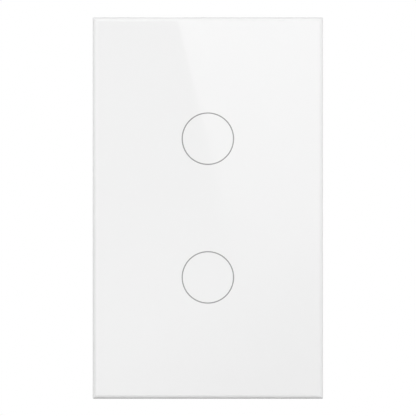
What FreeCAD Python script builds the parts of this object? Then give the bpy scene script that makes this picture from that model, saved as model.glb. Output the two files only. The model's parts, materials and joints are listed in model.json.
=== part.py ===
import FreeCAD, Part
import math
import os
from types import SimpleNamespace

import Sketcher

# Two-gang glass touch switch for a flush wall box.
# X runs across the plate, Z up it, and Y into the wall. The origin is the middle of the rear face of the
# steel bracket, which lies on the wall, so the glass is at negative Y and the box goes in at positive Y.

Vector = FreeCAD.Vector

DRIVING_SIZES = [
    # Glass panel with its print and rings
    ("panel_width", 72.5, "glass, across"),
    ("panel_height", 120.0, "glass, upright"),
    ("panel_depth", 8.5, "wall to the front of the glass"),
    ("glass_thickness", 3.0, "toughened glass"),
    ("glass_corner_radius", 0.4, "upright corners of the glass"),
    ("glass_edge_radius", 1.2, "rounding of the front rim"),
    ("print_thickness", 0.1, "enamel behind the glass"),
    ("print_margin", 0.4, "bare glass round the enamel"),
    ("ring_radius", 8.08, "middle of the ring line"),
    ("ring_line", 0.35, "width of the ring line"),
    ("gang_pitch", 43.65, "between the two rings"),
    ("tape_thickness", 0.3, "bonding tape"),
    ("tape_margin", 0.6, "tape inside the rim of the frame"),
    ("tape_width", 4.6, "width of the tape ring"),
    # Moulded frame behind the glass
    ("frame_inset", 0.5, "frame inside the glass rim"),
    ("frame_wall", 1.6, "skirt"),
    ("frame_corner_radius", 1.5, "corners of the skirt"),
    ("frame_web", 1.0, "ledge behind the glass"),
    ("frame_web_width", 6.5, "ledge at the ends, from the outside"),
    ("frame_web_gap", 3.25, "ledge at the sides, from the carrier"),
    ("frame_wall_gap", 0.2, "skirt to the wall"),
    ("lip_width", 0.8, "return lip of the ledge"),
    ("lip_height", 0.7, "return lip of the ledge"),
    ("frame_rib", 0.8, "stiffening ribs"),
    ("frame_rib_pitch", 8.0, "between stiffening ribs"),
    ("frame_rib_reach", 1.6, "ribs end this far from the wall"),
    ("snap_length", 8.0, "snap pads along the skirt"),
    ("snap_height", 28.0, "snap pads above and below the middle"),
    ("snap_bump", 0.5, "nose of the snap pad"),
    ("snap_clearance", 0.1, "nose to the bracket flange"),
    ("pry_width", 12.0, "notch for prising the panel off"),
    ("pry_depth", 1.8, "notch for prising the panel off"),
    # Steel bracket
    ("bracket_steel", 1.2, "sheet thickness"),
    ("bracket_side_gap", 1.15, "sides of the bracket to the skirt"),
    ("bracket_end_gap", 1.9, "ends of the bracket to the skirt"),
    ("bracket_corner_radius", 3.0, "plan corners"),
    ("flange_height", 2.8, "folded sides, in front of the sheet"),
    ("flange_end", 12.0, "folded sides, from the ends of the bracket"),
    ("bend_radius", 1.1, "outside of the fold"),
    ("relief_width", 1.5, "notch at each end of a fold"),
    ("snap_window_length", 11.0, "window in the folded side"),
    ("snap_window_height", 1.2, "window in the folded side"),
    ("wall_screw_pitch", 83.3, "wall box screws"),
    ("wall_slot_width", 4.0, "slot for a wall screw"),
    ("wall_slot_length", 6.0, "slot for a wall screw"),
    ("window_lip", 0.5, "bracket inside the housing wall"),
    ("lug_width", 5.0, "locating lugs"),
    ("lug_thickness", 1.6, "locating lugs"),
    ("lug_clearance", 0.15, "round a locating lug"),
    # Rear housing
    ("housing_width", 45.0, "across"),
    ("housing_height", 69.0, "upright"),
    ("housing_wall", 1.8, "moulded wall"),
    ("housing_corner_radius", 2.5, "upright edges"),
    ("housing_rear_bevel", 0.8, "rear edges"),
    ("boss_reach", 2.7, "corner bosses, from the screw to their faces"),
    ("boss_inset", 2.0, "case screw from the inner wall"),
    ("step_depth", 1.3, "sunk corners for the case screws"),
    ("step_clearance", 0.4, "round a case screw head"),
    ("ledge_length", 5.0, "ledges behind the power board, along the wall"),
    ("ledge_width", 1.6, "ledges behind the power board, off the wall"),
    ("ledge_spread", 9.5, "top ledges from the middle"),
    ("ledge_low", -3.8, "side ledges"),
    ("board_catch", 0.8, "catches in front of the power board, off the wall"),
    ("board_catch_height", 1.2, "catches in front of the power board"),
    ("board_catch_gap", 0.05, "catches to the board"),
    ("vent_length", 25.0, "vent slots in the rear"),
    ("vent_width", 1.4, "vent slots"),
    ("vent_pitch", 3.4, "between vent slots"),
    ("vent_low", 2.0, "first vent slot"),
    ("side_vent_length", 8.0, "vent slots in the sides"),
    ("side_vent_front", 13.0, "side vents from the wall"),
    # Front carrier
    ("carrier_margin", 3.5, "carrier beyond the housing"),
    ("carrier_depth", 3.4, "in front of the bracket"),
    ("carrier_plate", 1.4, "front plate"),
    ("carrier_wall", 1.5, "side wall"),
    ("carrier_corner_radius", 3.0, "plan corners"),
    ("carrier_front_bevel", 0.5, "front rim"),
    ("well_clearance", 0.3, "round a light guide"),
    ("rest_spread", 16.5, "rests for the touch board, from the middle"),
    ("rest_height", 8.5, "rests and hooks, from the middle"),
    ("rest_width", 3.0, "rests for the touch board"),
    ("hook_thickness", 0.7, "hooks that hold the touch board"),
    ("hook_length", 4.0, "hooks that hold the touch board"),
    ("hook_nose", 0.6, "hooks, over the board"),
    ("hook_height", 0.8, "hooks, behind the board"),
    ("hook_clearance", 0.1, "hooks beside the board"),
    ("hook_gap", 0.05, "hooks behind the board"),
    ("carrier_rib", 1.0, "ribs behind the front plate"),
    ("carrier_rib_height", 1.3, "ribs behind the front plate"),
    # Boards
    ("touch_board_gap", 0.4, "touch board behind the bracket"),
    ("touch_board_thickness", 1.2, "circuit board"),
    ("touch_board_margin", 1.0, "touch board inside the bracket window"),
    ("board_gap", 7.0, "between the boards"),
    ("power_board_thickness", 1.6, "circuit board"),
    ("power_board_margin", 0.4, "power board inside the housing"),
    ("notch_clearance", 0.5, "board round a corner boss"),
    # Light guides, springs and lamps
    ("guide_outer_radius", 8.6, "light guide"),
    ("guide_wall", 1.0, "light guide"),
    ("guide_gap", 0.4, "light guide to the print"),
    ("spring_radius", 4.5, "middle of the wire"),
    ("spring_wire", 0.5, "wire diameter"),
    ("spring_gap", 0.1, "spring to the print"),
    ("lamp_radius", 6.35, "lamps from the ring's middle"),
    ("lamp_length", 1.6, "lamp"),
    ("lamp_width", 0.8, "lamp"),
    ("lamp_height", 0.7, "lamp"),
    # Parts behind the touch board
    ("module_width", 15.0, "radio board"),
    ("module_height", 21.0, "radio board"),
    ("module_thickness", 0.8, "radio board"),
    ("module_low", 2.6, "lower edge of the radio board"),
    ("shield_width", 12.4, "radio can"),
    ("shield_height", 13.0, "radio can"),
    ("shield_depth", 2.2, "radio can"),
    ("shield_sheet", 0.25, "radio can"),
    ("chip_width", 9.9, "touch controller"),
    ("chip_height", 3.9, "touch controller"),
    ("chip_depth", 1.5, "touch controller"),
    ("chip_x", 4.0, "touch controller"),
    ("chip_z", -14.0, "touch controller"),
    ("link_pitch", 2.0, "link pins"),
    ("link_pin", 0.6, "link pins, square"),
    ("link_clearance", 0.08, "round a link pin"),
    ("link_width", 2.6, "link socket"),
    ("link_header_height", 2.5, "link header"),
    ("link_x", -8.0, "middle of the link"),
    ("link_z", -3.0, "middle of the link"),
    ("link_pin_reach", 3.0, "pin inside the socket"),
    ("link_pin_tail", 0.8, "pin beyond the power board"),
    # Fasteners
    ("case_screw_radius", 1.25, "case screws"),
    ("case_head_radius", 2.2, "case screws"),
    ("case_head_height", 1.1, "case screws"),
    ("case_bite", 2.2, "case screw inside the carrier"),
    ("screw_clearance", 0.15, "round a plain shank"),
    ("thread_clearance", 0.05, "round a threaded shank"),
    ("recess_clearance", 0.2, "round a sunk head"),
    # Terminals
    ("terminal_side_gap", 0.95, "block inside the corner bosses"),
    ("terminal_wall", 0.9, "between cages"),
    ("terminal_end_wall", 1.9, "at the wire ports"),
    ("terminal_back_wall", 1.1, "behind the cages and the tabs"),
    ("terminal_gap", 0.3, "block to the housing"),
    ("terminal_rear_gap", 0.3, "block inside the rear face"),
    ("terminal_rim", 0.45, "rim behind a screw head"),
    ("terminal_bevel", 0.4, "mouths of the wire ports"),
    ("cage_clearance", 0.15, "cage in its cavity"),
    ("cage_wall", 0.75, "side walls of a cage"),
    ("cage_jaw", 0.9, "front wall of a cage"),
    ("cage_nut", 1.2, "threaded wall of a cage"),
    ("cage_length", 6.0, "cage along the wire"),
    ("cage_rise", 1.8, "open cage above the board"),
    ("cage_travel", 3.5, "travel of a cage"),
    ("wire_space", 4.4, "open wire passage"),
    ("bar_thickness", 1.0, "contact bar"),
    ("bar_clearance", 0.2, "round a contact bar"),
    ("bar_gap", 0.25, "contact bar to the open cage"),
    ("collar", 0.8, "ledge under a screw head"),
    ("running_gap", 0.05, "under a head and at a tip"),
    ("clamp_screw_radius", 1.5, "clamp screw"),
    ("clamp_head_radius", 2.5, "clamp screw"),
    ("clamp_head_height", 1.6, "clamp screw"),
    ("clamp_slot_width", 0.8, "drive slot"),
    ("clamp_slot_depth", 0.9, "drive slot"),
    # Relays
    ("relay_length", 17.8, "case"),
    ("relay_width", 10.1, "case"),
    ("relay_case_wall", 0.8, "case"),
    ("relay_spacing", 0.6, "between the relays"),
    ("relay_block_gap", 1.3, "relays to the terminal block"),
    ("relay_base", 1.8, "moulded base"),
    ("relay_base_gap", 0.1, "base inside the case"),
    ("yoke_steel", 1.0, "yoke"),
    ("yoke_width", 6.4, "yoke"),
    ("yoke_end_gap", 1.2, "foot of the yoke to the case"),
    ("yoke_gap", 0.25, "upright to the armature"),
    ("coil_radius", 3.2, "winding"),
    ("coil_flange_width", 7.0, "bobbin ends, square"),
    ("coil_flange", 0.6, "bobbin ends"),
    ("coil_height", 3.2, "winding"),
    ("core_width", 2.6, "core pin, square"),
    ("core_clearance", 0.1, "core pin in the coil"),
    ("pole_height", 0.3, "core pin beyond the coil"),
    ("pole_gap", 0.75, "pole face to the open armature"),
    ("armature_steel", 0.7, "armature"),
    ("armature_width", 6.0, "armature"),
    ("armature_short", 0.55, "armature inside the far side of the coil"),
    ("leaf_thickness", 0.2, "contact leaf"),
    ("leaf_width", 1.8, "contact leaf"),
    ("contact_width", 1.7, "contact buttons, square"),
    ("leaf_reach", 3.6, "contacts from the upright of the yoke"),
    ("contact_height", 0.35, "contact buttons"),
    ("contact_gap", 0.6, "open contact"),
    ("rest_gap", 0.1, "resting contact"),
    ("contact_arm", 0.3, "contact arms"),
    ("contact_wall_gap", 0.5, "contact posts to the case"),
    ("contact_to_post", 1.0, "contacts from their posts"),
    ("contact_post", 0.4, "contact posts"),
    ("contact_post_gap", 1.3, "contact posts beside the leaf"),
    ("contact_post_width", 1.7, "contact posts"),
    ("relay_head_gap", 0.4, "above the contact arms"),
    # Supply
    ("transformer_inset", 8.3, "transformer from the side of the board"),
    ("transformer_z", 19.0, "transformer"),
    ("transformer_foot", 1.6, "foot of the bobbin"),
    ("core_length", 10.6, "ferrite core, across"),
    ("core_height", 10.0, "ferrite core, off the board"),
    ("core_depth", 5.0, "ferrite core"),
    ("core_leg", 1.3, "outer legs of the core"),
    ("core_middle_leg", 2.4, "middle leg of the core"),
    ("bobbin_clearance", 0.1, "bobbin round the middle leg"),
    ("bobbin_wall", 0.6, "bobbin"),
    ("bobbin_end_wall", 0.7, "bobbin"),
    ("bobbin_depth", 9.4, "bobbin ends"),
    ("winding_inset", 0.3, "winding inside the bobbin ends"),
    ("bulk_radius", 4.0, "bulk capacitors"),
    ("bulk_height", 11.5, "bulk capacitors"),
    ("bulk_x", 1.2, "bulk capacitors"),
    ("bulk_upper_z", 25.3, "upper bulk capacitor"),
    ("bulk_lower_z", 16.5, "lower bulk capacitor"),
    ("safety_inset", 9.9, "safety capacitor from the side of the board"),
    ("safety_z", 20.0, "safety capacitor"),
    ("safety_thickness", 5.0, "safety capacitor"),
    ("safety_length", 12.4, "safety capacitor"),
    ("safety_height", 11.0, "safety capacitor"),
    ("safety_bevel", 0.5, "top edges of the safety capacitor"),
    ("varistor_inset", 3.7, "varistor from the side of the board"),
    ("varistor_z", 20.4, "varistor"),
    ("varistor_radius", 5.0, "varistor"),
    ("varistor_thickness", 3.4, "varistor"),
    ("lead_width", 0.7, "leads of a disc, square"),
    ("lead_height", 1.2, "leads between the board and a disc"),
    ("lead_spread", 2.5, "leads from the middle of a disc"),
    ("fuse_inset", 7.3, "fuse resistor from the side of the board"),
    ("fuse_z", 8.6, "fuse resistor"),
    ("fuse_radius", 1.9, "fuse resistor"),
    ("fuse_length", 8.6, "fuse resistor"),
    ("bridge_x", 2.0, "bridge rectifier"),
    ("bridge_z", 7.2, "bridge rectifier"),
    ("bridge_width", 6.4, "bridge rectifier"),
    ("bridge_height", 4.6, "bridge rectifier"),
    ("bridge_depth", 2.6, "bridge rectifier"),
    ("power_chip_spread", 6.6, "power chips from the transformer's middle"),
    ("power_chip_width", 4.9, "power chips"),
    ("power_chip_height", 3.9, "power chips"),
    ("power_chip_depth", 1.5, "power chips"),
    ("chip_edge_bevel", 0.25, "moulded edges of the chips"),
]

SPRING_TURNS = 2
SPRING_WIRE_SIDES = 6
TERMINAL_COUNT = 4
VENT_COUNT = 7
LINK_PIN_COUNT = 5


class Size:
    """A length with the sheet formula that gives it, so that sums of sizes stay bound to the sheet."""

    def __init__(self, value, formula):
        self.value = value
        self.formula = formula

    def _join(self, other, sign, result):
        other_text = other.formula if isinstance(other, Size) else repr(other)
        return Size(result, f"({self.formula} {sign} {other_text})")

    def __add__(self, other):
        return self._join(other, "+", self.value + plain(other))

    def __sub__(self, other):
        return self._join(other, "-", self.value - plain(other))

    def __mul__(self, other):
        return self._join(other, "*", self.value * plain(other))

    def __truediv__(self, other):
        return self._join(other, "/", self.value / plain(other))

    def __neg__(self):
        return Size(-self.value, f"(0 - {self.formula})")


def plain(size):
    """The number of a size, or the number itself."""
    return size.value if isinstance(size, Size) else size


def bind(item, property_name, size):
    """Tie a property to the sheet."""
    if isinstance(size, Size):
        item.setExpression(property_name, size.formula)
    else:
        item.setExpression(property_name, repr(float(size)))


doc = FreeCAD.newDocument("touch_switch")
sheet = doc.addObject("Spreadsheet::Sheet", "Sizes")
for row, (alias, value, note) in enumerate(DRIVING_SIZES, start=1):
    sheet.set(f"A{row}", note)
    sheet.set(f"B{row}", str(value))
    sheet.setAlias(f"B{row}", alias)
doc.recompute()
aliases = [alias for alias, _, _ in DRIVING_SIZES]
d = SimpleNamespace(**{alias: Size(float(sheet.get(alias)), f"Sizes.{alias}") for alias in aliases})

nodes = []


# Sketch outlines: each function returns a drawing that a sketch can take, with every point dimensioned
# from the sketch's own origin.


def dimension(sketch, kind, elements, size):
    """Add one dimension bound to the sheet."""
    index = sketch.addConstraint(Sketcher.Constraint(kind, *elements, plain(size)))
    if isinstance(size, Size):
        sketch.setExpression(f"Constraints[{index}]", size.formula)


def outline(*corners):
    """A closed outline of straight lines through the corners."""

    def draw(sketch):
        first = sketch.GeometryCount
        count = len(corners)
        points = [Vector(plain(x), plain(y), 0) for x, y in corners]
        for i in range(count):
            sketch.addGeometry(Part.LineSegment(points[i], points[(i + 1) % count]))
        for i in range(count):
            sketch.addConstraint(Sketcher.Constraint("Coincident", first + i, 2, first + (i + 1) % count, 1))
        for i, (x, y) in enumerate(corners):
            dimension(sketch, "DistanceX", (-1, 1, first + i, 1), x)
            dimension(sketch, "DistanceY", (-1, 1, first + i, 1), y)

    return draw


def box(left, right, low, high):
    """A rectangle between two stations each way."""
    return outline((left, low), (right, low), (right, high), (left, high))


def sized(number):
    """A size from a plain number, such as the zero of a station."""
    return number if isinstance(number, Size) else Size(float(number), repr(float(number)))


def centred(x, y, width, height):
    """A rectangle about its middle."""
    x, y = sized(x), sized(y)
    return box(x - width / 2, x + width / 2, y - height / 2, y + height / 2)


def circle(x, y, radius):
    """A circle about a point."""

    def draw(sketch):
        centre = Vector(plain(x), plain(y), 0)
        index = sketch.addGeometry(Part.Circle(centre, Vector(0, 0, 1), plain(radius)))
        dimension(sketch, "Radius", (index,), radius)
        dimension(sketch, "DistanceX", (-1, 1, index, 3), x)
        dimension(sketch, "DistanceY", (-1, 1, index, 3), y)

    return draw


def upright_slot(x, y, width, length):
    """A round-ended slot along the sketch's second axis."""

    def draw(sketch):
        radius = plain(width) / 2
        reach = plain(length) / 2 - radius
        px, py = plain(x), plain(y)
        normal = Vector(0, 0, 1)
        top = Part.ArcOfCircle(Part.Circle(Vector(px, py + reach, 0), normal, radius), 0, math.pi)
        left = Part.LineSegment(Vector(px - radius, py + reach, 0), Vector(px - radius, py - reach, 0))
        low = Part.ArcOfCircle(Part.Circle(Vector(px, py - reach, 0), normal, radius), math.pi, 2 * math.pi)
        right = Part.LineSegment(Vector(px + radius, py - reach, 0), Vector(px + radius, py + reach, 0))
        first = sketch.addGeometry(top)
        for curve in (left, low, right):
            sketch.addGeometry(curve)
        for i in range(4):
            ends = (first + i, 2, first + (i + 1) % 4, 1)
            sketch.addConstraint(Sketcher.Constraint("Tangent", *ends))
        sketch.addConstraint(Sketcher.Constraint("Equal", first, first + 2))
        dimension(sketch, "Radius", (first,), width / 2)
        dimension(sketch, "DistanceX", (-1, 1, first, 3), x)
        dimension(sketch, "DistanceX", (-1, 1, first + 2, 3), x)
        dimension(sketch, "DistanceY", (-1, 1, first, 3), y + length / 2 - width / 2)
        dimension(sketch, "DistanceY", (-1, 1, first + 2, 3), y - length / 2 + width / 2)

    return draw


# Bodies and their features. A view names the way a sketch is looked at: FRONT sketches lie in X and Z and
# are carried along Y, TOP sketches lie in X and Y and are carried along Z, SIDE sketches lie in Y and Z
# and are carried along X.

FRONT = SimpleNamespace(plane="XZ_Plane", sign=-1)
TOP = SimpleNamespace(plane="XY_Plane", sign=1)
SIDE = SimpleNamespace(plane="YZ_Plane", sign=1)


def new_body(name):
    """A body that becomes one node of the product."""
    body = doc.addObject("PartDesign::Body", name)
    body.Label = name
    body.AllowCompound = True
    nodes.append(body)
    return body


def sketch_on(body, view, station, drawings):
    """A sketch on one of the body's own planes, moved along the plane's normal to a station."""
    planes = {feature.Role: feature for feature in body.Origin.OriginFeatures}
    sketch = body.newObject("Sketcher::SketchObject", f"{body.Label}_sketch")
    sketch.AttachmentSupport = (planes[view.plane], [""])
    sketch.MapMode = "FlatFace"
    bind(sketch, "AttachmentOffset.Base.z", station * view.sign)
    for drawing in drawings:
        drawing(sketch)
    return sketch


def add(body, view, low, high, *drawings):
    """Pad the drawings from the low station to the high one."""
    low, high = sized(low), sized(high)
    start = high if view is FRONT else low
    pad = body.newObject("PartDesign::Pad", f"{body.Label}_pad")
    pad.Profile = sketch_on(body, view, start, drawings)
    bind(pad, "Length", high - low)
    return pad


def cut(body, view, low, high, *drawings):
    """Pocket the drawings from the low station to the high one."""
    low, high = sized(low), sized(high)
    start = low if view is FRONT else high
    pocket = body.newObject("PartDesign::Pocket", f"{body.Label}_pocket")
    pocket.Profile = sketch_on(body, view, start, drawings)
    bind(pocket, "Length", high - low)
    return pocket


def round_edges(body, radius, chooser, bevel=False):
    """Round, or bevel, the edges that the chooser accepts."""
    doc.recompute()
    base = body.Tip
    names = [f"Edge{i}" for i, edge in enumerate(base.Shape.Edges, start=1) if chooser(edge)]
    kind = "Chamfer" if bevel else "Fillet"
    feature = body.newObject(f"PartDesign::{kind}", f"{body.Label}_{kind.lower()}")
    feature.Base = (base, names)
    bind(feature, "Size" if bevel else "Radius", radius)
    return feature


def mirror_group(body, features, plane_roles):
    """Repeat the features on the other side of each plane."""
    planes = {feature.Role: feature for feature in body.Origin.OriginFeatures}
    mirrors = []
    for role in plane_roles:
        mirror = doc.addObject("PartDesign::Mirrored", f"{body.Label}_mirror")
        mirror.MirrorPlane = (planes[role], [""])
        mirrors.append(mirror)
    group = body.newObject("PartDesign::MultiTransform", f"{body.Label}_group")
    group.Originals = features
    group.Transformations = mirrors
    body.Tip = group
    return group


def near(value, size, tolerance=1e-4):
    """Whether a measured place is at a size."""
    return abs(value - plain(size)) < tolerance


def runs_along(edge, axis):
    """Whether an edge is a straight line along the axis."""
    if not isinstance(edge.Curve, Part.Line):
        return False
    return abs(abs(edge.Curve.Direction.dot(axis)) - 1) < 1e-6


def corner_edges(half_width, half_height):
    """Chooses the edges along Y at the four corners of a rectangle."""
    y_axis = Vector(0, 1, 0)

    def chooser(edge):
        point = edge.CenterOfMass
        at_corner = near(abs(point.x), half_width) and near(abs(point.z), half_height)
        return at_corner and runs_along(edge, y_axis)

    return chooser


def rim_edges(station, half_width, half_height):
    """Chooses the edges at one Y station that lie on the rim of a rectangle."""

    def chooser(edge):
        bounds = edge.BoundBox
        flat = near(bounds.YMin, station) and near(bounds.YMax, station)
        on_side = near(max(abs(bounds.XMin), abs(bounds.XMax)), half_width)
        on_end = near(max(abs(bounds.ZMin), abs(bounds.ZMax)), half_height)
        return flat and (on_side or on_end)

    return chooser


def quadrants(x, z):
    """The four points at plus and minus x and z."""
    return [(x * sx, z * sz) for sx in (-1, 1) for sz in (-1, 1)]


# Stations along Y, from the glass to the rear wall of the housing.

glass_front = -d.panel_depth
glass_back = glass_front + d.glass_thickness
print_back = glass_back + d.print_thickness
tape_back = print_back + d.tape_thickness
web_back = tape_back + d.frame_web
frame_back = -d.frame_wall_gap
bracket_front = -d.bracket_steel
flange_front = bracket_front - d.flange_height
carrier_front = bracket_front - d.carrier_depth
carrier_plate_back = carrier_front + d.carrier_plate
touch_board_front = d.touch_board_gap
touch_board_back = touch_board_front + d.touch_board_thickness
power_board_front = touch_board_back + d.board_gap
power_board_back = power_board_front + d.power_board_thickness

cage_front = power_board_back + d.cage_rise
jaw_back = cage_front + d.cage_jaw
bar_front = jaw_back + d.wire_space
bar_back = bar_front + d.bar_thickness
nut_front = bar_back + d.bar_gap
cage_back = nut_front + d.cage_nut
collar_front = cage_back + d.cage_travel + d.running_gap
collar_back = collar_front + d.collar
clamp_head_front = collar_back + d.running_gap
clamp_head_back = clamp_head_front + d.clamp_head_height
block_back = clamp_head_back + d.terminal_rim
housing_back = block_back + d.terminal_rear_gap
rear_wall_front = housing_back - d.housing_wall
clamp_tip = bar_back + d.running_gap
case_screw_tip = bracket_front - d.case_bite

# Half sizes across and upright.

glass_half = (d.panel_width / 2, d.panel_height / 2)
frame_half = (glass_half[0] - d.frame_inset, glass_half[1] - d.frame_inset)
skirt_half = (frame_half[0] - d.frame_wall, frame_half[1] - d.frame_wall)
bracket_half = (skirt_half[0] - d.bracket_side_gap, skirt_half[1] - d.bracket_end_gap)
flange_length = (bracket_half[1] - d.flange_end) * 2
housing_half = (d.housing_width / 2, d.housing_height / 2)
inner_half = (housing_half[0] - d.housing_wall, housing_half[1] - d.housing_wall)
window_half = (inner_half[0] - d.window_lip, inner_half[1] - d.window_lip)
carrier_half = (housing_half[0] + d.carrier_margin, housing_half[1] + d.carrier_margin)
web_half = (carrier_half[0] + d.frame_web_gap, frame_half[1] - d.frame_web_width)
lug_z = (housing_half[1] + carrier_half[1] - d.carrier_wall) / 2
touch_board_half = (window_half[0] - d.touch_board_margin, window_half[1] - d.touch_board_margin)
power_board_half = (inner_half[0] - d.power_board_margin, inner_half[1] - d.power_board_margin)
boss = (inner_half[0] - d.boss_inset, inner_half[1] - d.boss_inset)
boss_face = (boss[0] - d.boss_reach, boss[1] - d.boss_reach)
notch = (boss_face[0] - d.notch_clearance, boss_face[1] - d.notch_clearance)
gang_z = d.gang_pitch / 2

# Supply stations across, from the sides of the power board.

transformer_x = -power_board_half[0] + d.transformer_inset
safety_x = power_board_half[0] - d.safety_inset
varistor_x = power_board_half[0] - d.varistor_inset
fuse_x = power_board_half[0] - d.fuse_inset

# Terminal stations along Z, from the wire ports upwards.

block_low = -inner_half[1] + d.terminal_gap
cavity_low = block_low + d.terminal_end_wall
cavity_high = cavity_low + d.cage_length + d.cage_clearance * 2
tab_low = cavity_high + d.terminal_back_wall
tab_high = tab_low + d.bar_thickness + d.bar_clearance * 2
block_high = tab_high + d.terminal_back_wall
cage_z = cavity_low + d.cage_clearance + d.cage_length / 2
block_half = boss_face[0] - d.terminal_side_gap
terminal_pitch = (block_half * 2 - d.terminal_wall) / TERMINAL_COUNT
cavity_width = terminal_pitch - d.terminal_wall
cage_width = cavity_width - d.cage_clearance * 2
passage_width = cage_width - d.cage_wall * 2
bar_width = passage_width - d.bar_clearance * 2
pole_x = [terminal_pitch * (i - (TERMINAL_COUNT - 1) / 2) for i in range(TERMINAL_COUNT)]


def notched(half, notch_at):
    """A rectangle with its four corners cut away, about the origin."""
    x, z = half
    nx, nz = notch_at
    return outline(
        (-nx, -z), (nx, -z), (nx, -nz), (x, -nz), (x, nz), (nx, nz),
        (nx, z), (-nx, z), (-nx, nz), (-x, nz), (-x, -nz), (-nx, -nz),
    )


def glass_panel():
    """Glass plate with a rounded front rim."""
    body = new_body("glass_panel")
    add(body, FRONT, glass_front, glass_back, centred(0, 0, d.panel_width, d.panel_height))
    round_edges(body, d.glass_corner_radius, corner_edges(*glass_half))
    round_edges(body, d.glass_edge_radius, rim_edges(glass_front, *glass_half))


def back_print():
    """Enamel behind the glass, open along the two ring lines."""
    body = new_body("back_print")
    width = d.panel_width - d.print_margin * 2
    height = d.panel_height - d.print_margin * 2
    add(body, FRONT, glass_back, print_back, centred(0, 0, width, height))
    for z in (-gang_z, gang_z):
        outer = circle(0, z, d.ring_radius + d.ring_line / 2)
        inner = circle(0, z, d.ring_radius - d.ring_line / 2)
        cut(body, FRONT, glass_back, print_back, outer, inner)


def ring_windows():
    """The two translucent rings that fill the slots in the enamel."""
    body = new_body("ring_windows")
    for z in (-gang_z, gang_z):
        outer = circle(0, z, d.ring_radius + d.ring_line / 2)
        inner = circle(0, z, d.ring_radius - d.ring_line / 2)
        add(body, FRONT, glass_back, print_back, outer, inner)


def panel_adhesive():
    """Tape ring that bonds the enamelled glass to the frame."""
    body = new_body("panel_adhesive")
    width = (frame_half[0] - d.tape_margin) * 2
    height = (frame_half[1] - d.tape_margin) * 2
    outer = centred(0, 0, width, height)
    inner = centred(0, 0, width - d.tape_width * 2, height - d.tape_width * 2)
    add(body, FRONT, print_back, tape_back, outer, inner)


def panel_frame():
    """Moulded frame: a skirt, a ledge with a return lip, ribs, snap pads and a prising notch."""
    body = new_body("panel_frame")
    add(body, FRONT, tape_back, frame_back, centred(0, 0, frame_half[0] * 2, frame_half[1] * 2))
    round_edges(body, d.frame_corner_radius, corner_edges(*frame_half))
    cut(body, FRONT, web_back, frame_back, centred(0, 0, skirt_half[0] * 2, skirt_half[1] * 2))
    lip = (web_half[0] + d.lip_width, web_half[1] + d.lip_width)
    add(body, FRONT, web_back, web_back + d.lip_height, centred(0, 0, lip[0] * 2, lip[1] * 2))
    cut(body, FRONT, tape_back, web_back + d.lip_height, centred(0, 0, web_half[0] * 2, web_half[1] * 2))
    rib_back = -d.frame_rib_reach
    end_ribs = []
    for step in (-3, -2, -1, 1, 2, 3):
        for sign in (-1, 1):
            middle = (lip[1] + skirt_half[1]) / 2 * sign
            end_ribs.append(centred(d.frame_rib_pitch * step, middle, d.frame_rib, skirt_half[1] - lip[1]))
    add(body, FRONT, web_back, rib_back, *end_ribs)
    nose = bracket_half[0] + d.snap_clearance
    pads = []
    noses = []
    for x_sign in (-1, 1):
        for z in (-d.snap_height, d.snap_height):
            pad_middle = (nose + d.snap_bump + skirt_half[0]) / 2 * x_sign
            pads.append(centred(pad_middle, z, skirt_half[0] - nose - d.snap_bump, d.snap_length))
            noses.append(centred((nose + skirt_half[0]) / 2 * x_sign, z, skirt_half[0] - nose, d.snap_length))
    add(body, FRONT, web_back, rib_back, *pads)
    window_front = flange_front + (d.flange_height - d.snap_window_height) / 2
    add(body, FRONT, window_front, window_front + d.snap_window_height, *noses)
    skirt_low = centred(0, -(frame_half[1] + skirt_half[1]) / 2, d.pry_width, d.frame_wall)
    cut(body, FRONT, frame_back - d.pry_depth, frame_back, skirt_low)


def mounting_bracket():
    """Pressed steel bracket: window, slots for the wall screws and folded sides with snap windows."""
    body = new_body("mounting_bracket")
    add(body, FRONT, bracket_front, 0, centred(0, 0, bracket_half[0] * 2, bracket_half[1] * 2))
    round_edges(body, d.bracket_corner_radius, corner_edges(*bracket_half))
    side = bracket_half[0] - d.bracket_steel / 2
    folds = [centred(side * sign, 0, d.bracket_steel, flange_length) for sign in (-1, 1)]
    add(body, FRONT, flange_front, bracket_front, *folds)
    relief_z = (flange_length + d.relief_width) / 2
    reliefs = [
        centred(x, z, d.bracket_steel * 2, d.relief_width)
        for x, z in quadrants(bracket_half[0] - d.bracket_steel, relief_z)
    ]
    cut(body, FRONT, bracket_front, 0, *reliefs)
    fold_length = plain(flange_length)

    def outer_bend(edge):
        point = edge.CenterOfMass
        at_side = near(abs(point.x), bracket_half[0]) and near(point.y, 0)
        return at_side and near(edge.Length, fold_length) and runs_along(edge, Vector(0, 0, 1))

    round_edges(body, d.bend_radius, outer_bend)
    cut(body, FRONT, bracket_front, 0, centred(0, 0, window_half[0] * 2, window_half[1] * 2))
    wall_slots = [upright_slot(0, d.wall_screw_pitch / 2 * sign, d.wall_slot_width, d.wall_slot_length)
                  for sign in (-1, 1)]
    lug_hole = (d.lug_width + d.lug_clearance * 2, d.lug_thickness + d.lug_clearance * 2)
    lug_holes = [centred(0, lug_z * sign, *lug_hole) for sign in (-1, 1)]
    cut(body, FRONT, bracket_front, 0, *wall_slots, *lug_holes)
    middle = flange_front + d.flange_height / 2
    windows = [centred(middle, z, d.snap_window_height, d.snap_window_length)
               for z in (-d.snap_height, d.snap_height)]
    cut(body, SIDE, -bracket_half[0], bracket_half[0], *windows)


def corner_blocks(near_corner, far_corner):
    """Four rectangles, one in each quadrant, between two points."""
    x, z = near_corner[0] + far_corner[0], near_corner[1] + far_corner[1]
    width, height = far_corner[0] - near_corner[0], far_corner[1] - near_corner[1]
    return [centred(cx, cz, width, height) for cx, cz in quadrants(x / 2, z / 2)]


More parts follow.
